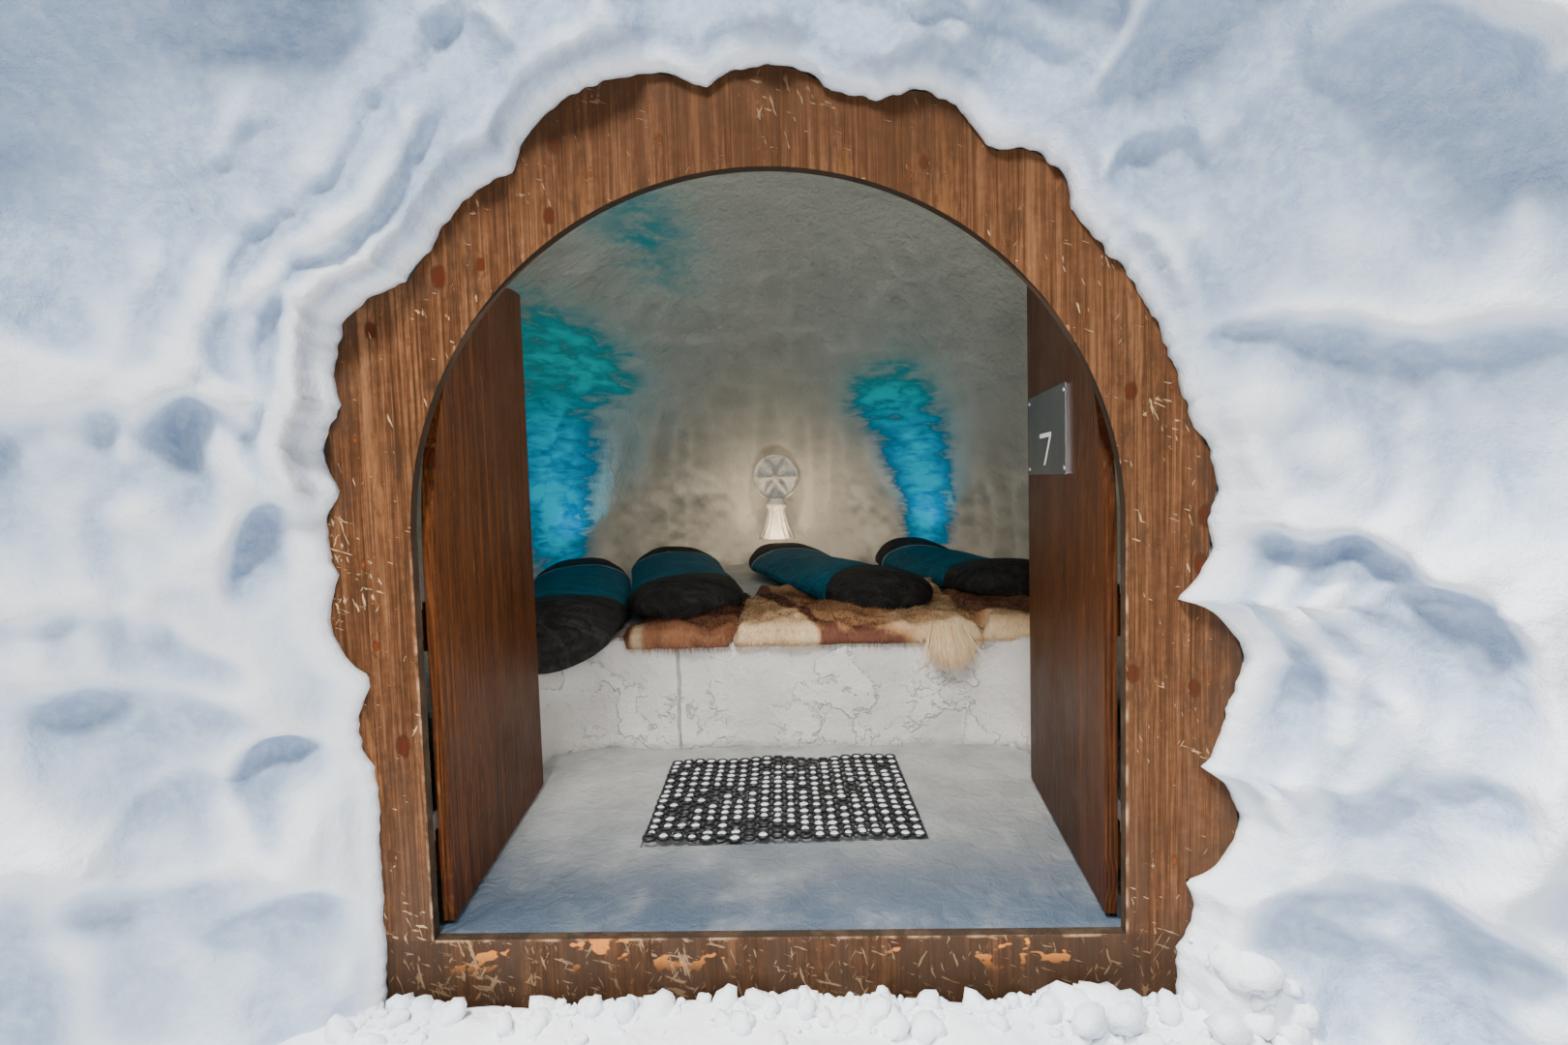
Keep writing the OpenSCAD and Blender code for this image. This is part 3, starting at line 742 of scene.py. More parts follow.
def spruce(name, tones, knot_tones, roughness, width, letter, sheen):
    """Stained softwood in upright boards laid side by side along one axis."""
    f = Finish(name, roughness, Specular_IOR_Level=sheen)
    dark, middle, light = tones
    place = f.axis(letter) / width + 0.37
    board = place.maths("FLOOR")
    own = f.node("TexWhiteNoise", {"noise_dimensions": "1D"}, {"W": board})
    flat = f.node("CombineXYZ", {}, {0: f.axis(letter) * 7.5, 1: f.axis("Z") * 5.0})
    near_knot, cell = (f.node("TexVoronoi", {"voronoi_dimensions": "2D"},
                              {"Vector": flat, "Scale": 1.0}, out=k) for k in ("Distance", "Color"))
    size = f.node("SeparateXYZ", {}, {0: cell}, out="X")
    size = (size - 0.3).maths("MAXIMUM", 0.0)
    from_knot = (near_knot + 0.07 * (f.noise(60, 3, 0.6) - 0.5)) / (0.004 + 0.15 * size)
    figure = f.node("TexNoise", {"noise_dimensions": "4D"}, {
        "Vector": f.scaled((6, 6, 0.45)), "W": board * 5.1, "Scale": 1.0, "Detail": 2.0})
    figure = figure + 0.035 * f.step(from_knot, 4.0, 0.6)
    rings = (figure * 150).maths("SINE")
    fibre = 0.62 * f.noise((190, 190, 3.4), 4, 0.74, twist=0.2) \
        + 0.20 * f.noise((26, 26, 1.0), 3, 0.6, twist=0.3) \
        + 0.18 * f.noise(38, 5, 0.72)
    tone = f.ramp(fibre, (0.40, dark), (0.61, light), (0.50, middle))
    tone = f.mix(tone, dark, f.step(rings, 0.1, 1.0) * 0.34)
    tone = f.mix(tone, dark, own * 0.36)
    orange = f.step(f.noise((26, 26, 0.9), 2, 0.5), 0.63, 0.70)
    tone = f.mix(tone, light, orange * 0.5)
    knots = f.step(from_knot, 1.05, 0.95)
    tone = f.mix(tone, (0.022, 0.009, 0.005), f.step(from_knot, 1.5, 1.0) * 0.65)
    tone = f.mix(tone, f.mix(*knot_tones, f.step(size, 0.15, 0.4)), knots)
    seam = place.maths("FRACT")
    seams = f.step(seam, 0.012, 0.004)
    tone = f.mix(tone, (0.02, 0.01, 0.006), seams * 0.6)
    return f, tone, f.bump(rings * 0.25 + fibre - seams, 0.0012)


panel_tones = ((0.058, 0.024, 0.010), (0.155, 0.062, 0.025), (0.330, 0.145, 0.063))
panel_knots = ((0.23, 0.058, 0.014), (0.085, 0.017, 0.005))
f, tone, grain = spruce("weathered spruce", panel_tones, panel_knots, 0.7, 0.118, "X", 0.04)
across, height = f.axis("X"), f.axis("Z")
rise = (height - ARCH_Z).maths("MAXIMUM", 0.0)
from_middle = (across * across + rise * rise).maths("POWER", 0.5)
above_sill = f.step(height, FLOOR_Z - 0.002, FLOOR_Z + 0.002)
worn = f.step(f.noise((17, 17, 3.0), 5, 0.68), 0.57, 0.70)
mottled = f.step(f.noise((30, 30, 9), 5, 0.75), 0.50, 0.66)
soaked = f.step(height, 0.85, 0.05) \
    * f.step(f.noise((12, 12, 2.2), 4, 0.6), 0.38, 0.62)
low_down = f.step(height, FLOOR_Z + 0.25, FLOOR_Z - 0.05)
often = f.step(f.noise(5.5, 3, 0.6), 0.55, 0.68) + 0.8 * low_down
strokes = [f.noise(1, 2, 0.5, at=f.scaled(stretch, at=f.scaled((1, 1, 1), turn=(0, lean, 0))))
           for stretch, lean in (((110, 110, 20), 0.30), ((120, 120, 17), -0.55),
                                 ((130, 130, 24), 1.25))]
scratches = sum(f.step(stroke + 0.085 * often, 0.730, 0.760) for stroke in strokes)
scratches = scratches.maths("MINIMUM", 1.0)
chips = f.step(f.noise((30, 30, 14), 4, 0.7) + 0.05 * often, 0.695, 0.715)
outer = f.step(from_middle + 0.34 * (f.noise(6.5, 5, 0.70) - 0.5), 0.90, 1.01)
arris = f.step(from_middle, DOOR_R + 0.007, DOOR_R + 0.003) * above_sill \
    * f.step(height, ARCH_Z + 0.15, ARCH_Z - 0.25)
sill_edge = f.step(height, FLOOR_Z - 0.006, FLOOR_Z - 0.003) \
    * f.step(from_middle, DOOR_R, DOOR_R - 0.01)
damp = f.step(height, FLOOR_Z + 0.05, 0.02) * f.step(f.noise(3.2, 4, 0.6), 0.2, 0.6)
bare = f.step(f.noise((8, 8, 13), 3, 0.6), 0.61, 0.63) \
    * f.step(height, FLOOR_Z - 0.085, FLOOR_Z - 0.02) * f.step(from_middle, DOOR_R, DOOR_R - 0.03)
cut_edge = f.step(f.axis("Y"), PORTAL_Y + 0.0008, PORTAL_Y + 0.0025)
for colour, mask in (
        ((0.36, 0.15, 0.055), worn * 0.5), ((0.046, 0.026, 0.015), mottled * 0.62),
        ((0.075, 0.045, 0.030), soaked * 0.75), ((0.66, 0.42, 0.23), scratches * 0.8),
        ((0.62, 0.37, 0.18), chips * 0.75), ((0.050, 0.034, 0.025), outer * 0.68),
        # Painted shade: the panel darker towards its top.
        ((0.056, 0.024, 0.010), f.step(height, ARCH_Z + 0.45, ARCH_Z + 0.90) * 0.68),
        ((0.085, 0.042, 0.021), f.step(across, 0.2, 0.9) * 0.22),
        ((0.045, 0.030, 0.020), (1 - above_sill) * 0.45),
        ((0.50, 0.29, 0.16), (arris + sill_edge) * f.step(f.noise(22, 3), 0.42, 0.66) * 0.8),
        ((0.034, 0.017, 0.008), damp * 0.8), ((0.64, 0.22, 0.05), bare * (1 - above_sill)),
        ((0.030, 0.022, 0.016), cut_edge * 0.93)):
    tone = f.mix(tone, colour, mask)
dress(f.wear(Base_Color=tone, Normal=f.bump(scratches + chips + bare, 0.0015, grain),
             Roughness=0.55 + 0.2 * worn), "portal_panel")


# Door leaves and their ledges. Spruce boards in a darker stain, standing open against the well,
# with two ledges across the back of each.
leaf_tones = ((0.026, 0.0085, 0.002), (0.078, 0.023, 0.006), (0.150, 0.047, 0.012))
leaf_knots = ((0.035, 0.009, 0.003), (0.055, 0.013, 0.004))
f, tone, grain = spruce("dark stained spruce", leaf_tones, leaf_knots, 0.5, 0.155, "Y", 0.12)
marks = f.step(f.noise((22, 40, 7), 2, 0.6), 0.70, 0.74)
tone = f.mix(tone, (0.20, 0.08, 0.03), marks * 0.6)
tone = f.mix(tone, (0.085, 0.030, 0.010), f.step(f.noise(2.2, 2), 0.5, 0.7) * 0.5)
tone = f.mix(tone, (0.022, 0.008, 0.003), f.step(f.axis("X"), -0.2, 0.2) * 0.42)
dress(f.wear(Base_Color=tone, Normal=grain, Roughness=f.noise(7) * 0.3 + 0.32),
      "left_leaf", "left_ledges", "right_leaf", "right_ledges")


# Hinges. Flat iron straps with a rolled eye, hung on pintles screwed to the back of the panel.
# Their zinc is dull, and rust comes through it in places.
f = Finish("zinc-dull iron", 0.45, Metallic=0.9)
rust = f.step(f.noise(30, 4, 0.6), 0.55, 0.72)
dress(f.wear(Base_Color=f.mix((0.30, 0.31, 0.32), (0.16, 0.09, 0.05), rust * 0.7),
             Roughness=0.4 + 0.4 * rust, Normal=f.bump(f.noise(180, 3), 0.0004)),
      "left_straps", "left_pintles", "right_straps", "right_pintles")
iron = f.material
PIN_X, OPEN = 0.776, radians(95)
PANEL_BACK, LEAF_THICK = PORTAL_Y + 0.027, 0.027
PIN_Y = PANEL_BACK + 0.0083
STRAP_HEIGHTS = (FLOOR_Z + 0.255, FLOOR_Z + 0.785)
SCREWS_ALONG = (0.06, 0.15, 0.24, 0.33, 0.41)   # distances from the pin along a strap
STRAP_SCREW_R = 0.0065


def on_leaf(side, x, y, z):
    """Where a point of a closed leaf is when the leaf stands open, on the side -1 or 1."""
    turn = -side * OPEN
    dx, dy = side * x - side * PIN_X, y - PIN_Y
    return Vector((side * PIN_X + dx * cos(turn) - dy * sin(turn),
                   PIN_Y + dx * sin(turn) + dy * cos(turn), z))


def leaf_way(side, ahead):
    """Direction that an open leaf's back faces, where ahead is 1, or its front, where it is -1."""
    return on_leaf(side, PIN_X, PIN_Y + ahead, 0) - on_leaf(side, PIN_X, PIN_Y, 0)


def placing_tree():
    """Geometry Nodes tree that sets a shape on every point, turned and sized as the point says."""
    tree = bpy.data.node_groups.new("set in place", "GeometryNodeTree")
    for label, kind, way in (("Places", "Geometry", "INPUT"), ("Shape", "Object", "INPUT"),
                             ("Size", "Float", "INPUT"), ("Finish", "Material", "INPUT"),
                             ("Pieces", "Geometry", "OUTPUT")):
        tree.interface.new_socket(label, in_out=way, socket_type="NodeSocket" + kind)
    given, result = tree.nodes.new("NodeGroupInput"), tree.nodes.new("NodeGroupOutput")
    shape, size, place, real, smooth, paint = (tree.nodes.new(kind) for kind in (
        "GeometryNodeObjectInfo", "ShaderNodeVectorMath", "GeometryNodeInstanceOnPoints",
        "GeometryNodeRealizeInstances", "GeometryNodeSetShadeSmooth", "GeometryNodeSetMaterial"))
    size.operation = "SCALE"
    own = {}
    for label in ("turn", "size"):
        own[label] = tree.nodes.new("GeometryNodeInputNamedAttribute")
        own[label].data_type = "FLOAT_VECTOR"
        own[label].inputs["Name"].default_value = label
    for start, end in ((given.outputs["Shape"], shape.inputs["Object"]),
                       (given.outputs["Places"], place.inputs["Points"]),
                       (shape.outputs["Geometry"], place.inputs["Instance"]),
                       (own["turn"].outputs[0], place.inputs["Rotation"]),
                       (own["size"].outputs[0], size.inputs[0]),
                       (given.outputs["Size"], size.inputs["Scale"]),
                       (size.outputs[0], place.inputs["Scale"]),
                       (place.outputs[0], real.inputs[0]), (real.outputs[0], smooth.inputs[0]),
                       (smooth.outputs[0], paint.inputs["Geometry"]),
                       (given.outputs["Finish"], paint.inputs["Material"]),
                       (paint.outputs[0], result.inputs[0])):
        tree.links.new(start, end)
    return tree


placing = placing_tree()
placing_inputs = {item.name: item.identifier for item in placing.interface.items_tree}


def copies(name, shape, places, turns, sizes, material, size=1.0, **notes):
    """One mesh of copies of a shape, one on each place; turns are Euler angles."""
    made = mesh_object(name, places, [])
    for label, values in (("turn", turns), ("size", sizes)):
        rows = np.broadcast_to(np.asarray(values, np.float32), (len(places), 3))
        made.data.attributes.new(label, "FLOAT_VECTOR", "POINT").data.foreach_set(
            "vector", np.ascontiguousarray(rows).ravel())
    for label, values in notes.items():
        note(made, label, values)
    pattern = mesh_object(name + "_shape", *shape)
    grow = made.modifiers.new("set in place", "NODES")
    grow.node_group = placing
    for label, value in (("Shape", pattern), ("Size", size), ("Finish", material)):
        grow[placing_inputs[label]] = value
    finished(made)
    bpy.data.objects.remove(pattern)
    for label in ("turn", "size"):
        made.data.attributes.remove(made.data.attributes[label])
    return made


def ball(fineness, flat):
    """Points and faces of a ball of radius 1, squashed along z."""
    bm = bmesh.new()
    bmesh.ops.create_icosphere(bm, subdivisions=fineness, radius=1)
    points = np.array([v.co for v in bm.verts]) * (1, 1, flat)
    faces = [tuple(v.index for v in f.verts) for f in bm.faces]
    bm.free()
    return points, faces


def screws(name, places, facing, radius, material, body):
    """Round-headed screws on a flat piece, one at each place, all facing one way."""
    turn = Vector(facing).to_track_quat("Z", "Y").to_euler()
    made = copies(name, ball(3, 0.45), places, turn, (1, 1, 1), material, radius)
    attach(made, body)


for side, body in ((-1, "left_door"), (1, "right_door")):
    screws(f"{body}_screws", [on_leaf(side, PIN_X - d, PIN_Y - 0.003, z)
                              for z in STRAP_HEIGHTS for d in SCREWS_ALONG],
           leaf_way(side, 1), STRAP_SCREW_R, iron, body)


# Number plate. A dark anodised sheet with a bright cut edge and a white figure, screwed to the
# face of the right leaf at its four corners.
PLATE_X, PLATE_Z, PLATE_THICK = (0.054, 0.484), (1.1725, 1.4075), 0.009
PLATE_CORNER = 0.006
CHAMFER_DEEP, CHAMFER_SHRINK = 0.0012, 0.006   # depth, and the share that the face is smaller
FIGURE_THICK = 0.0006
SCREWS_X, SCREWS_Z, PLATE_SCREW_R = (0.070, 0.468), (1.190, 1.390), 0.007
plate_face = PANEL_BACK - LEAF_THICK - PLATE_THICK


def rounded(x0, x1, z0, z1, radius):
    """Outline of a rectangle with round corners."""
    corners = ((x1 - radius, z0 + radius, -90), (x1 - radius, z1 - radius, 0),
               (x0 + radius, z1 - radius, 90), (x0 + radius, z0 + radius, 180))
    return [(cx + radius * cos(radians(start + turn)), cz + radius * sin(radians(start + turn)))
            for cx, cz, start in corners for turn in range(0, 91, 15)]


def tube_faces(rows, columns):
    """Faces of rings of points one after another, then of the caps on the first and the last."""
    last = (rows - 1) * columns
    return grid_faces(rows, columns, wrap_columns=True) \
        + [tuple(range(columns)), tuple(range(last + columns - 1, last - 1, -1))]


def on_plate(name, loops, material):
    """Flat piece on the right leaf from outlines, each at its depth on the closed leaf."""
    points = [on_leaf(1, x, y, z) for outline, y in loops for x, z in outline]
    made = mesh_object(name, points, tube_faces(len(loops), len(loops[0][0])), material,
                       smooth=False)
    outward(made)
    return made


f = Finish("anodised plate", 0.38, Metallic=0.55)
brushed = f.noise((6, 6, 420), 3, 0.6)
f.wear(Base_Color=f.mix((0.046, 0.050, 0.050), (0.075, 0.078, 0.078), brushed),
       Roughness=f.noise(9) * 0.2 + 0.3)
edge = Finish("bright cut edge", 0.25, Metallic=1.0)
edge.wear(Base_Color=edge.mix((0.62, 0.64, 0.68), (0.82, 0.83, 0.86), edge.noise(60)))
outline = np.array(rounded(*PLATE_X, *PLATE_Z, PLATE_CORNER))
chamfered = outline.mean(axis=0) + (outline - outline.mean(axis=0)) * (1 - CHAMFER_SHRINK)
plate = on_plate("plate", [(chamfered, plate_face), (outline, plate_face + CHAMFER_DEEP),
                           (outline, plate_face + PLATE_THICK)], f.material)
plate.data.materials.append(edge.material)
for k, face in enumerate(plate.data.polygons):
    face.material_index = int(k != 2 * len(outline))
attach(plate, "right_door")
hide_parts("number_plate")
screws("plate_screws", [on_leaf(1, x, plate_face, z) for x in SCREWS_X for z in SCREWS_Z],
       leaf_way(1, -1), PLATE_SCREW_R, edge.material, "right_door")
f = Finish("white figure", 0.5)
f.wear(Base_Color=f.mix((0.74, 0.75, 0.76), (0.86, 0.87, 0.88), f.noise(50)))
seven = [(0.335, 1.290), (0.205, 1.290), (0.205, 1.278), (0.318, 1.278), (0.252, 1.200),
         (0.268, 1.200), (0.335, 1.280)]
figure = on_plate("plate_figure", [(seven, plate_face - FIGURE_THICK), (seven, plate_face)],
                  f.material)
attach(figure, "right_door")


# Ring mat. Rubber rings joined by short webs, a common doormat laid on the snow, which feet have
# pressed up through its cells.
MAT_AT, MAT_TURN, PITCH, MAT_CELLS = (0.0, -0.83), radians(1.8), 0.040, (20, 15)
RING_R, RING_TUBE, MAT_HEIGHT = 0.0172, 0.0034, 0.012
RING_AROUND, RING_SECTION = 14, 6    # points round a ring and round its section
WEB_LONG, WEB_WIDE, WEB_HIGH = 0.006, 0.007, 0.009
SNOW_SHARE, SNOW_SIZES = -0.42, (0.009, 0.0155)   # the lower the share, the more cells are full


def mat_place(i, j):
    """Place of a ring's middle, or of a point between rings, on the wavy mat."""
    x, y = (i - (MAT_CELLS[0] - 1) / 2) * PITCH, (j - (MAT_CELLS[1] - 1) / 2) * PITCH
    wave = 0.004 * sin(i * 0.9) + 0.003 * cos(j * 1.1 + i * 0.5) + 0.004 * (j < 1)
    return (MAT_AT[0] + x * cos(MAT_TURN) - y * sin(MAT_TURN),
            MAT_AT[1] + x * sin(MAT_TURN) + y * cos(MAT_TURN), FLOOR_Z + 0.009 + wave)


def circle(count):
    """Angles of points evenly round a circle."""
    return np.linspace(0, 2 * pi, count, endpoint=False)


def ring_shape():
    """Points and faces of an upright-walled ring."""
    a, b = over_grid(circle(RING_AROUND), circle(RING_SECTION))
    radius = RING_R + RING_TUBE * np.cos(b)
    points = np.stack([radius * np.cos(a), radius * np.sin(a), MAT_HEIGHT / 2 * np.sin(b)], 1)
    return points, grid_faces(RING_AROUND, RING_SECTION, True, True)


def box_shape(x, y, z):
    """Points and faces of a box round its middle."""
    corners = np.array([(i, j, k) for i in (-1, 1) for j in (-1, 1) for k in (-1, 1)])
    return corners * (x, y, z) / 2, [(0, 1, 3, 2), (4, 6, 7, 5), (0, 4, 5, 1), (2, 3, 7, 6),
                                     (0, 2, 6, 4), (1, 5, 7, 3)]


cells = [(i, j) for j in range(MAT_CELLS[1]) for i in range(MAT_CELLS[0])]
webs_across = [(i + 0.5, j) for i, j in cells if i < MAT_CELLS[0] - 1]
webs_along = [(i, j + 0.5) for i, j in cells if j < MAT_CELLS[1] - 1]
f = Finish("black rubber", 0.55)
dusted = f.step(f.noise(60, 4, 0.6), 0.60, 0.72) * f.step(f.noise(5, 2), 0.45, 0.6)
f.wear(Base_Color=f.mix((0.010, 0.010, 0.011), (0.70, 0.74, 0.78), dusted * 0.8),
       Roughness=0.45 + 0.3 * dusted, Normal=f.bump(f.noise(300, 2), 0.0004))
for name, shape, spots in (
        ("mat_rings", ring_shape(), cells),
        ("mat_webs_across", box_shape(WEB_LONG, WEB_WIDE, WEB_HIGH), webs_across),
        ("mat_webs_along", box_shape(WEB_WIDE, WEB_LONG, WEB_HIGH), webs_along)):
    made = copies(name, shape, [mat_place(i, j) for i, j in spots], (0, 0, MAT_TURN), (1, 1, 1),
                  f.material)
    outward(made)
    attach(made, "igloo")
    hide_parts("ring_mat")
filled = [c for c in cells
          if lumps(np.array([mat_place(*c)]), 0.13, 51)[0] + rng.normal(0, 0.25) > SNOW_SHARE]
mat_snow = copies("mat_snow", ball(2, 0.42), [mat_place(i, j) for i, j in filled],
                  rng.uniform(0, 3, (len(filled), 1)) * (0, 0, 1),
                  rng.uniform(*SNOW_SIZES, (len(filled), 3)), outdoor_snow)
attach(mat_snow, "igloo")


# Hides. Whole reindeer and cattle skins with the hair on, laid over the platform's front under
# the sleeping bags. They fold a little, and their edges hang over the snow.
HAIR_WIDE = 0.0016
HIDE_ROWS, HIDE_STEP = 96, 0.0075    # rows of points from back to front, and their gap across
HIDE_BEND = 0.022                    # radius where a hide turns over the platform's edge
MARK_STRIPE = ((-0.20, 0.57), (0.17, -0.47))   # x and y of the dark stripe's two ends


def pelt_finish(name, pale, tan, dark):
    """Hair from pale through tan to dark, by the attribute pelt, streaked along its lie."""
    f = Finish(name, 0.75)
    streaks = f.noise((170, 26, 60), 4, 0.65, twist=0.4)
    tone = f.attribute("pelt") + 0.60 * (streaks - 0.5) + 0.45 * (f.noise(16, 4, 0.6) - 0.5)
    colour = f.ramp(tone, (0.10, pale), (0.90, dark), (0.50, tan))
    f.wear(Base_Color=colour, Normal=f.bump(streaks, 0.006), Roughness=0.6 + 0.3 * streaks)
    return f.material


HAIR_SHAPE = ([(-0.5, 0, 0), (0.5, 0, 0), (0.4, 0.5, 0.3), (-0.4, 0.5, 0.3), (0, 1, 0.25)],
              [(0, 1, 2, 3), (3, 2, 4)])


def unit(vectors):
    """The same directions with a length of 1."""
    return vectors / np.linalg.norm(vectors, axis=1)[:, None]


def hair(name, roots, out, lie, length, pelt, material, wide=HAIR_WIDE):
    """Hairs as narrow pointed strips, rising from each root and lying over along one direction."""
    side = unit(np.cross(lie, out))
    up = np.cross(side, lie)
    turns = [Matrix(m).to_euler() for m in np.stack([side, lie, up], 2)]
    return copies(name, HAIR_SHAPE, roots, turns, np.stack([0 * length + wide, length, length], 1),
                  material, pelt=pelt)


def hide(node, depth, drop, thick, pattern, material, seed, hairs):
    """Skin laid over the platform's edge, with short hair all over."""
    low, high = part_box(node)
    width = high.x - low.x
    rows, columns = HIDE_ROWS, round(width / HIDE_STEP)
    top = PLATFORM_Z - 0.002
    length = depth + HIDE_BEND * pi / 2 + drop
    s, u = over_grid(np.linspace(0, length, rows), np.linspace(0, 1, columns))
    arc = np.clip((s - depth) / HIDE_BEND, 0, pi / 2)
    down = np.maximum(s - depth - HIDE_BEND * pi / 2, 0)
    ragged = 0.030 * lumps(np.stack([s, u * 0, s], 1), 0.13, seed)
    x = low.x + u * width + ragged * (u - 0.5) * 2 + 0.008 * np.sin(s * 31 + seed)
    flat_y = PLATFORM_Y + HIDE_BEND - 0.006 + depth - np.minimum(s, depth)
    ground = np.stack([x, flat_y - HIDE_BEND * np.sin(arc) - 0.002,
                       top - HIDE_BEND * (1 - np.cos(arc)) - down], 1)
    out = np.stack([0 * x, -np.sin(arc), np.cos(arc)], 1)
    fray = 0.01 * (1 + lumps(np.stack([x, s * 0, x], 1), 0.05, seed + 1))
    edge = np.minimum(np.minimum(u, 1 - u) * width, np.minimum(s, length - s + fray))
    folds = 0.5 + 0.5 * lumps(np.stack([x, s * 0.55, 0 * x], 1), 0.15, seed + 2)
    height = 0.026 + thick * folds + 0.012 * lumps(np.stack([x, s, 0 * x], 1), 0.055, seed + 3)
    height *= smoothstep(-0.004, 0.035, edge)
    upper = ground + out * (height + 0.002)[:, None]
    skin = mesh_object(node + "_skin", np.concatenate([upper, ground]),
                       sheet_faces(rows, columns), material)
    outward(skin)
    pelt = pattern(upper)
    note(skin, "pelt", np.tile(pelt, 2))
    _, normals = skin_of(skin)
    seen = np.flatnonzero(upper[:, 1] < PLATFORM_Y + 0.75)
    pick = seen[rng.integers(0, len(seen), hairs)]
    roots = upper[pick] + rng.normal(0, 0.003, (hairs, 3)) * (1, 1, 0.2) - normals[pick] * 0.001
    lie = np.stack([0.35 * lumps(roots, 0.2, seed + 4), -np.cos(arc[pick]),
                    -np.sin(arc[pick])], 1) + rng.normal(0, 0.22, (hairs, 3))
    coat = hair(node + "_hair", roots, normals[pick], unit(lie), rng.uniform(0.014, 0.030, hairs),
                np.clip(pelt[pick] + rng.normal(0, 0.10, hairs), 0, 1), material)
    for made in (skin, coat):
        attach(made, "igloo")
    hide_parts(node)


def brown_pelt(p):
    """Dark brown behind and on the left, tan lower down, with one pale tuft."""
    dark = 0.55 + 0.25 * lumps(p, 0.16, 71)
    dark += 0.25 * smoothstep(-0.36, -0.20, p[:, 1])
    tuft = np.exp(-((p[:, 0] + 0.55) / 0.022) ** 2) * smoothstep(-0.30, -0.40, p[:, 1])
    return np.clip(dark - 0.7 * tuft, 0, 1)


def cream_pelt(p):
    """Pale, with a dark stripe aslant from the left, a tan patch behind it and a dark hem."""
    (x0, y0), (x1, y1) = MARK_STRIPE
    t = np.clip((p[:, 1] - y0) / (y1 - y0), 0, 1)
    off = np.abs(p[:, 0] - (x0 + t * (x1 - x0)) + 0.02 * lumps(p, 0.08, 72))
    stripe = 1 - smoothstep(0.025, 0.055, off)
    tan = smoothstep(0.0, 0.08, p[:, 0] - x0 - t * (x1 - x0)) \
        * (1 - smoothstep(0.36, 0.46, p[:, 0]))
    hem = smoothstep(0.14, 0.22, p[:, 0]) * (1 - smoothstep(0.42, 0.52, p[:, 0])) \
        * smoothstep(0.625, 0.605, p[:, 2])
    return np.clip(0.28 + 0.30 * tan + 0.20 * lumps(p, 0.10, 73) + 0.75 * stripe + 0.55 * hem, 0, 1)


def right_pelt(p):
    """Pale in front and red-brown behind."""
    return np.clip(0.20 + 0.65 * smoothstep(-0.33, -0.22, p[:, 1]) + 0.12 * lumps(p, 0.1, 74), 0, 1)


brown_hair = pelt_finish("brown hair", (0.46, 0.33, 0.19), (0.27, 0.105, 0.040),
                         (0.075, 0.024, 0.011))
cream_hair = pelt_finish("cream hair", (0.66, 0.48, 0.28), (0.46, 0.235, 0.10),
                         (0.13, 0.042, 0.018))
hide("hide_brown", 0.80, 0.004, 0.055, brown_pelt, brown_hair, 61, 9000)
hide("hide_cream", 0.95, 0.002, 0.062, cream_pelt, cream_hair, 64, 13000)
hide("hide_grey", 0.80, 0.0, 0.050, right_pelt, cream_hair, 67, 5000)

TAIL_AT, TAIL_HAIRS, TAIL_HAIR_WIDE = (0.60, -0.436, 0.612), 1500, 0.0028
aside = rng.normal(0, 1, TAIL_HAIRS)
roots = np.array(TAIL_AT) + np.stack([0.023 * aside, rng.normal(0, 0.008, TAIL_HAIRS),
                                      0.012 * rng.normal(0, 1, TAIL_HAIRS)], 1)
lie = unit(np.stack([0.10 + 0.16 * aside, -0.10 + rng.normal(0, 0.05, TAIL_HAIRS),
                     -1 + 0 * aside], 1))
tail = hair("hide_tail", roots, np.tile((0.0, -1.0, 0.1), (TAIL_HAIRS, 1)), lie,
            rng.uniform(0.07, 0.145, TAIL_HAIRS), np.clip(rng.normal(0.16, 0.12, TAIL_HAIRS), 0, 1),
            cream_hair, TAIL_HAIR_WIDE)
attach(tail, "igloo")


# Sleeping bags. Padded mummy bags with a black foot and hood and a teal body, lying loosely on
# the hides, their feet towards the door. Cloth simulation puffs each between its seams.
BAG_ROWS, BAG_COLUMNS = 74, 56
PUFF_FRAMES, PUFF_PRESSURE, PUFF_CAP = 20, 3.5, 0.022   # the cap is the most a point moves, in m
# Along the bag from the foot: share of its length, half width, height
BAG_PROFILE = [(0, 0.0, 0.0), (0.008, 0.12, 0.07), (0.03, 0.20, 0.120), (0.07, 0.245, 0.142),
               (0.14, 0.258, 0.142), (0.30, 0.258, 0.122), (0.55, 0.258, 0.112), (0.78, 0.268, 0.115),
               (0.86, 0.25, 0.135), (0.92, 0.20, 0.155), (0.97, 0.12, 0.12), (1, 0.0, 0.0)]


def puffed(thing, held):
    """Inflates a closed padded piece between the points that are held."""
    rest, _ = skin_of(thing)
    group = thing.vertex_groups.new(name="held")
    group.add([int(i) for i in np.flatnonzero(held)], 1.0, "REPLACE")
    cloth = thing.modifiers.new("cloth", "CLOTH")
    settings = cloth.settings
    settings.quality, settings.mass = 5, 0.3
    settings.tension_stiffness = settings.compression_stiffness = 12
    settings.shear_stiffness, settings.bending_stiffness = 5, 0.4
    settings.use_pressure, settings.uniform_pressure_force = True, PUFF_PRESSURE
    settings.vertex_group_mass = "held"
    settings.effector_weights.gravity = 0
    cloth.collision_settings.use_collision = False
    for frame_number in range(1, PUFF_FRAMES + 1):
        bpy.context.scene.frame_set(frame_number)
    finished(thing)
    bpy.context.scene.frame_set(1)
    points, _ = skin_of(thing)
    moved = points - rest
    far = np.linalg.norm(moved, axis=1)[:, None]
    points = rest + moved * np.minimum(1, PUFF_CAP / np.maximum(far, 1e-9))
    points[:, 2] = np.maximum(points[:, 2], rest[:, 2].min())
    move_to(thing, points)


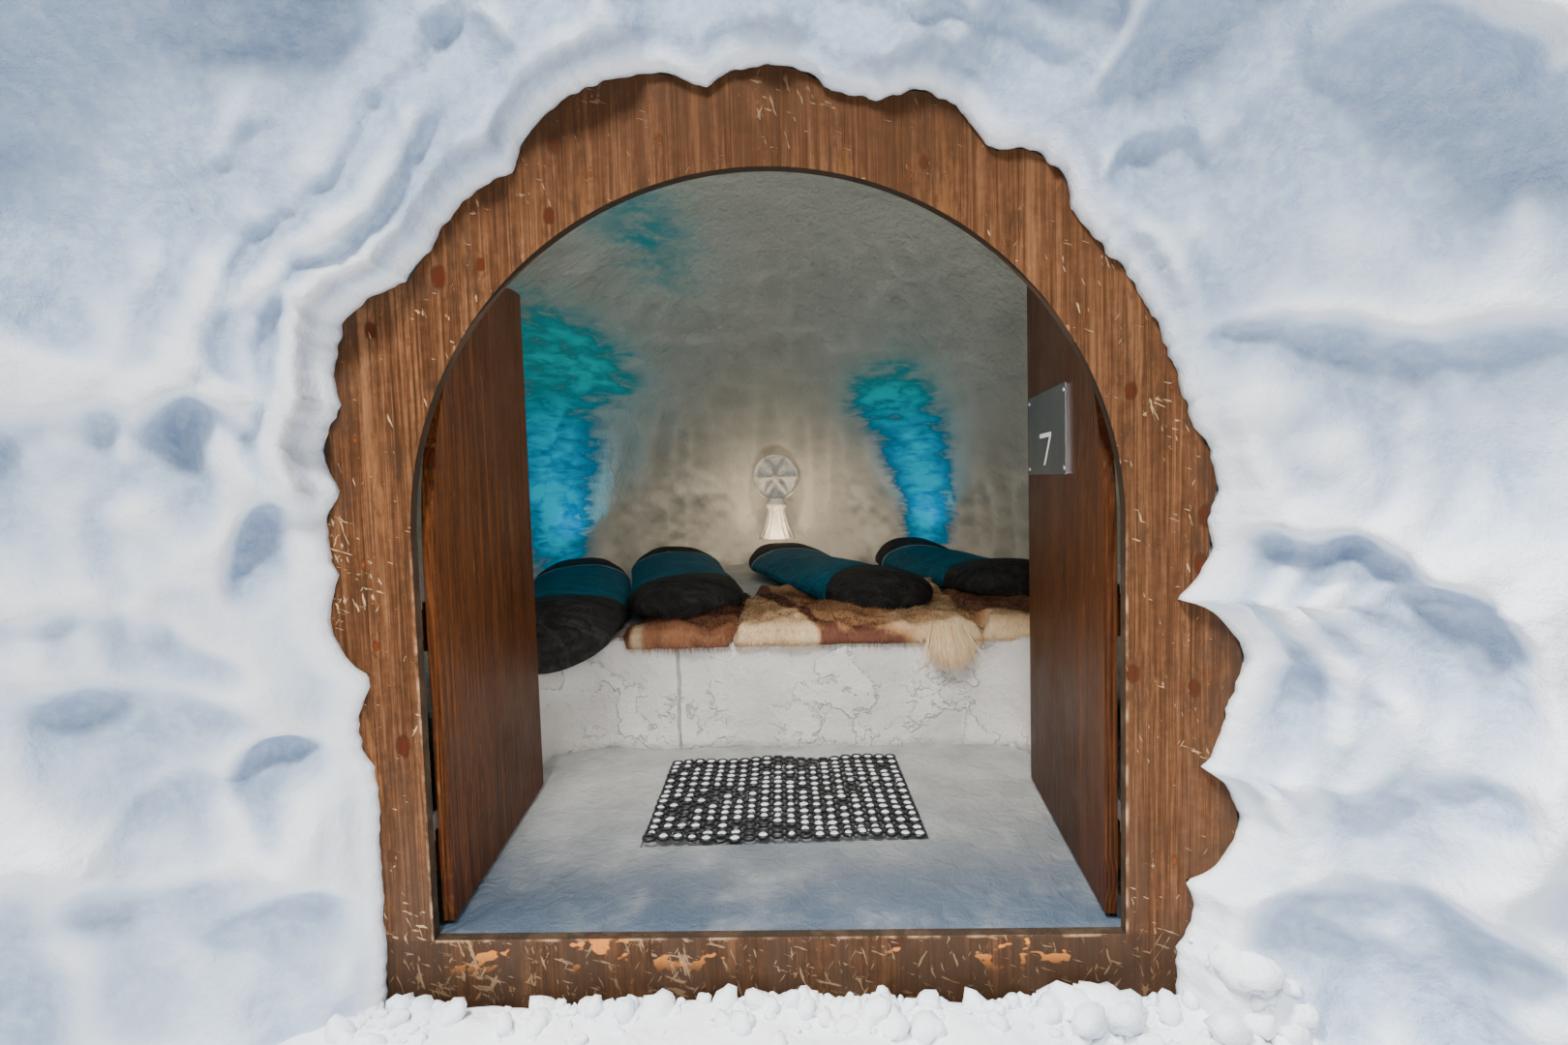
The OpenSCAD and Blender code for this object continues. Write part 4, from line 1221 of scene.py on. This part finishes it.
def bag(node, turn, twist, over, seed):
    """One sleeping bag over its CAD solid; over is how far its foot hangs past the platform."""
    turn = radians(turn)
    own = np.array([v.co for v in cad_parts[node].data.vertices])
    own_x = own @ (cos(turn), sin(turn), 0)
    own_y = own @ (-sin(turn), cos(turn), 0)
    middle, foot, head = (own_x.min() + own_x.max()) / 2, own_y.min() - over, own_y.max()
    floor, length = own[:, 2].min() + 0.003, head - foot
    share, half_at, high_at = np.array(BAG_PROFILE).T
    ends = 0.5 - 0.5 * np.cos(np.linspace(0.02, 0.98, BAG_ROWS) * pi)
    share_of = 0.35 * ends + 0.65 * np.linspace(0.0015, 0.9985, BAG_ROWS)
    v, a = over_grid(share_of, circle(BAG_COLUMNS))
    half, high = np.interp(v, share, half_at), np.interp(v, share, high_at)
    u = half * np.sign(np.cos(a)) * np.abs(np.cos(a)) ** 0.75
    steep = np.abs(np.sin(a))
    lift = np.where(np.sin(a) > 0, 0.34 + 0.66 * steep ** 0.9, 0.34 - 0.34 * steep ** 0.5)
    along = foot + v * length
    slump = 1 + 0.10 * lumps(np.stack([u, along, 0 * u], 1), 0.30, seed)
    sway = 0.012 * np.sin(along * 3 + seed)
    x, y, z = middle + sway + u, along, floor + high * lift * slump
    points = np.stack([x * cos(turn) - y * sin(turn), x * sin(turn) + y * cos(turn), z], 1)
    points[:, 2] -= 0.6 * np.maximum(PLATFORM_Y + 0.03 - points[:, 1], 0)
    made = mesh_object(node + "_padding", points, tube_faces(BAG_ROWS, BAG_COLUMNS))
    outward(made)
    reach, side = v * length, u / 0.24
    foot_line = 0.44 + 0.20 * side * twist - 0.06 * side ** 2 - reach
    hood_line = reach - (length - 0.30) + 0.10 * side ** 2
    seams = [np.abs(foot_line), np.abs(hood_line), np.where(steep < 0.12, 0.0, 0.1)]
    puffed(made, (np.min(seams, axis=0) < 0.012) | (lift < 0.03))
    foot_seam = np.abs(side + 0.35 - 1.1 * (reach - 0.10)) * 0.24 + np.where(foot_line > 0.03, 0, 1)
    for label, values in (("foot_line", foot_line), ("hood_line", hood_line),
                          ("foot_seam", foot_seam)):
        note(made, label, values)
    made.data.materials.append(bag_fabric)
    smooth = made.modifiers.new("smooth", "SUBSURF")
    smooth.levels = smooth.render_levels = 1
    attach(made, "igloo")
    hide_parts(node)


f = Finish("bag fabric", 0.62, Specular_IOR_Level=0.12)
foot, hood = f.attribute("foot_line"), f.attribute("hood_line")
black = f.step(foot, -0.002, 0.002).maths("MAXIMUM", f.step(hood, -0.002, 0.002))
edge_line = foot.maths("ABSOLUTE").maths("MINIMUM", hood.maths("ABSOLUTE"))
trim = f.step((hood + 0.025).maths("ABSOLUTE"), 0.008, 0.006)
folds = f.noise((9, 26, 14), 4, 0.6, twist=1.2)
creases = f.noise((34, 12, 20), 3, 0.55, twist=1.6)
weave = f.noise(1200, 1)
# Painted shade: teal and black are darker where the folds sink into creases.
teal = f.mix((0.000, 0.070, 0.120), (0.000, 0.155, 0.240), f.step(folds, 0.3, 0.7))
cloth_black = f.mix((0.013, 0.012, 0.011), (0.042, 0.038, 0.035), f.step(folds, 0.35, 0.75))
colour = f.mix(f.mix(teal, cloth_black, black), (0.45, 0.42, 0.40), trim * 0.9)
stitched = f.step(edge_line, 0.0, 0.012) * f.step(f.attribute("foot_seam"), 0.0, 0.008)
bag_fabric = f.wear(
    Base_Color=colour, Roughness=0.5 + 0.3 * weave,
    Normal=f.bump(weave, 0.0002, f.bump(folds + 0.6 * creases, 0.020, f.bump(stitched, 0.006))))
bag("sleeping_bag_left", 14, 0.1, 0.02, 81)
bag("sleeping_bag_mid_left", 11, 1.0, 0.01, 82)
bag("sleeping_bag_mid_right", 16.5, 1.0, 0.01, 83)
bag("sleeping_bag_right", 12, 0.4, 0, 84)


# Carving in the niche. A round rosette of clear ice on a fluted foot, lit from below: six blades
# round a boss, with a beaded rim.
ROSE_AT, ROSE_R, ROSE_DEEP, ROSE_BACK = np.array([-0.11, 1.985, 1.20]), 0.165, 0.05, 0.03
FOOT_LOW, FOOT_TALL = 0.775, 0.285


def rosette():
    """Disc of petals as a relief over polar coordinates, closed behind."""
    rings, turns = 26, 120
    r, a = over_grid(np.linspace(0.02, 1, rings), circle(turns))
    petal = np.abs(np.cos(3 * a)) ** 2.2
    leaf = np.clip(1 - np.abs(r - 0.46) / (0.40 * petal + 0.02), 0, 1) ** 0.6 * petal
    boss = np.sqrt(np.clip(1 - (r / 0.17) ** 2, 0, 1))
    rim = np.exp(-((r - 0.93) / 0.045) ** 2) * (0.75 + 0.25 * np.cos(36 * a))
    height = ROSE_DEEP * (0.18 + 0.65 * leaf + 0.8 * boss + 0.55 * rim) * smoothstep(1.02, 0.97, r)
    across, up = ROSE_R * r * np.cos(a), ROSE_R * r * np.sin(a)
    front = ROSE_AT + np.stack([across, -height, up], 1)
    back = ROSE_AT + np.stack([across, ROSE_BACK + 0 * a, up], 1)
    inwards = back.reshape(rings, turns, 3)[::-1].reshape(-1, 3)
    return mesh_object("niche_rosette", np.concatenate([front, inwards]),
                       tube_faces(2 * rings, turns))


def fluted_foot():
    """Flared foot with upright flutes under the rosette."""
    rows, turns = 22, 96
    t, a = over_grid(np.linspace(0, 1, rows), circle(turns))
    radius = 0.052 + 0.075 * (1 - t) ** 2.2 + 0.020 * np.exp(-((t - 0.82) / 0.08) ** 2)
    radius *= 1 + 0.07 * np.cos(16 * a) * smoothstep(0, 0.1, t) * smoothstep(0.8, 0.6, t)
    points = np.stack([ROSE_AT[0] + radius * np.cos(a),
                       ROSE_AT[1] - 0.03 + 0.7 * radius * np.sin(a), FOOT_LOW + t * FOOT_TALL], 1)
    return mesh_object("niche_foot", points, tube_faces(rows, turns))


f = Finish("carved ice", 0.32)
f.wear(Base_Color=f.mix((0.66, 0.65, 0.60), (0.88, 0.87, 0.82), f.step(f.noise(30, 4), 0.35, 0.65)),
       Roughness=f.noise(40) * 0.3 + 0.2, Normal=f.bump(f.noise(90, 4), 0.003))
for made in (rosette(), fluted_foot()):
    made.data.materials.append(f.material)
    outward(made)
    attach(made, "igloo")


# Crumbs of snow along the foot of the panel and down the right side. Boots and shovels broke
# them off the mouth, and each lies on the snow or the ground below it.
CRUMBS = 620
CRUMBS_X, HEAP_X = (-0.98, 1.10), 0.6    # past the heap's x they are larger and lie further out
CRUMB_SIZES, CRUMB_SHARES = (0.005, 0.009, 0.014, 0.022, 0.032), (0.40, 0.28, 0.17, 0.10, 0.05)
DROP_FROM, DROP_BELOW = 0.5, 0.20    # heights that crumbs drop from, and that they land below
ground_target = ray_target(mouth.data, doorstep.data)


def crumb_shape(seed):
    """Lump of broken snow with blunt corners."""
    points, faces = ball(2, 0.8)
    return points * (1 + 0.5 * lumps(points, 0.8, seed))[:, None], faces


for seed in range(3):
    spots, turns, sizes = [], [], []
    while len(spots) < CRUMBS // 3:
        x = rng.uniform(*CRUMBS_X)
        y = PORTAL_Y - 0.012 - rng.exponential(0.05)
        size = rng.choice(CRUMB_SIZES, p=CRUMB_SHARES)
        if lumps(np.array([[x, 0, 0]]), 0.12, 95)[0] < rng.uniform(-0.6, 0.5):
            continue
        if x > HEAP_X:
            size, y = size * 1.35, y - rng.exponential(0.03)
        above = Vector((x, min(y, PORTAL_Y - size), DROP_FROM))
        hit = ground_target.ray_cast(above, Vector((0, 0, -1)))
        if hit[0] and hit[0].z < DROP_BELOW:
            height = max(hit[0].z + size * rng.uniform(-0.2, 0.5), 1.15 * size)
            spots.append((hit[0].x, hit[0].y, height))
            sizes.append(size)
            turns.append((rng.uniform(0, 1), 0, rng.uniform(0, 2 * pi)))
    crumbs = copies(f"snow_crumbs_{seed + 1}", crumb_shape(91 + seed), spots, turns,
                    np.outer(sizes, (1, 1, 1)), outdoor_snow)
    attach(crumbs, "igloo")
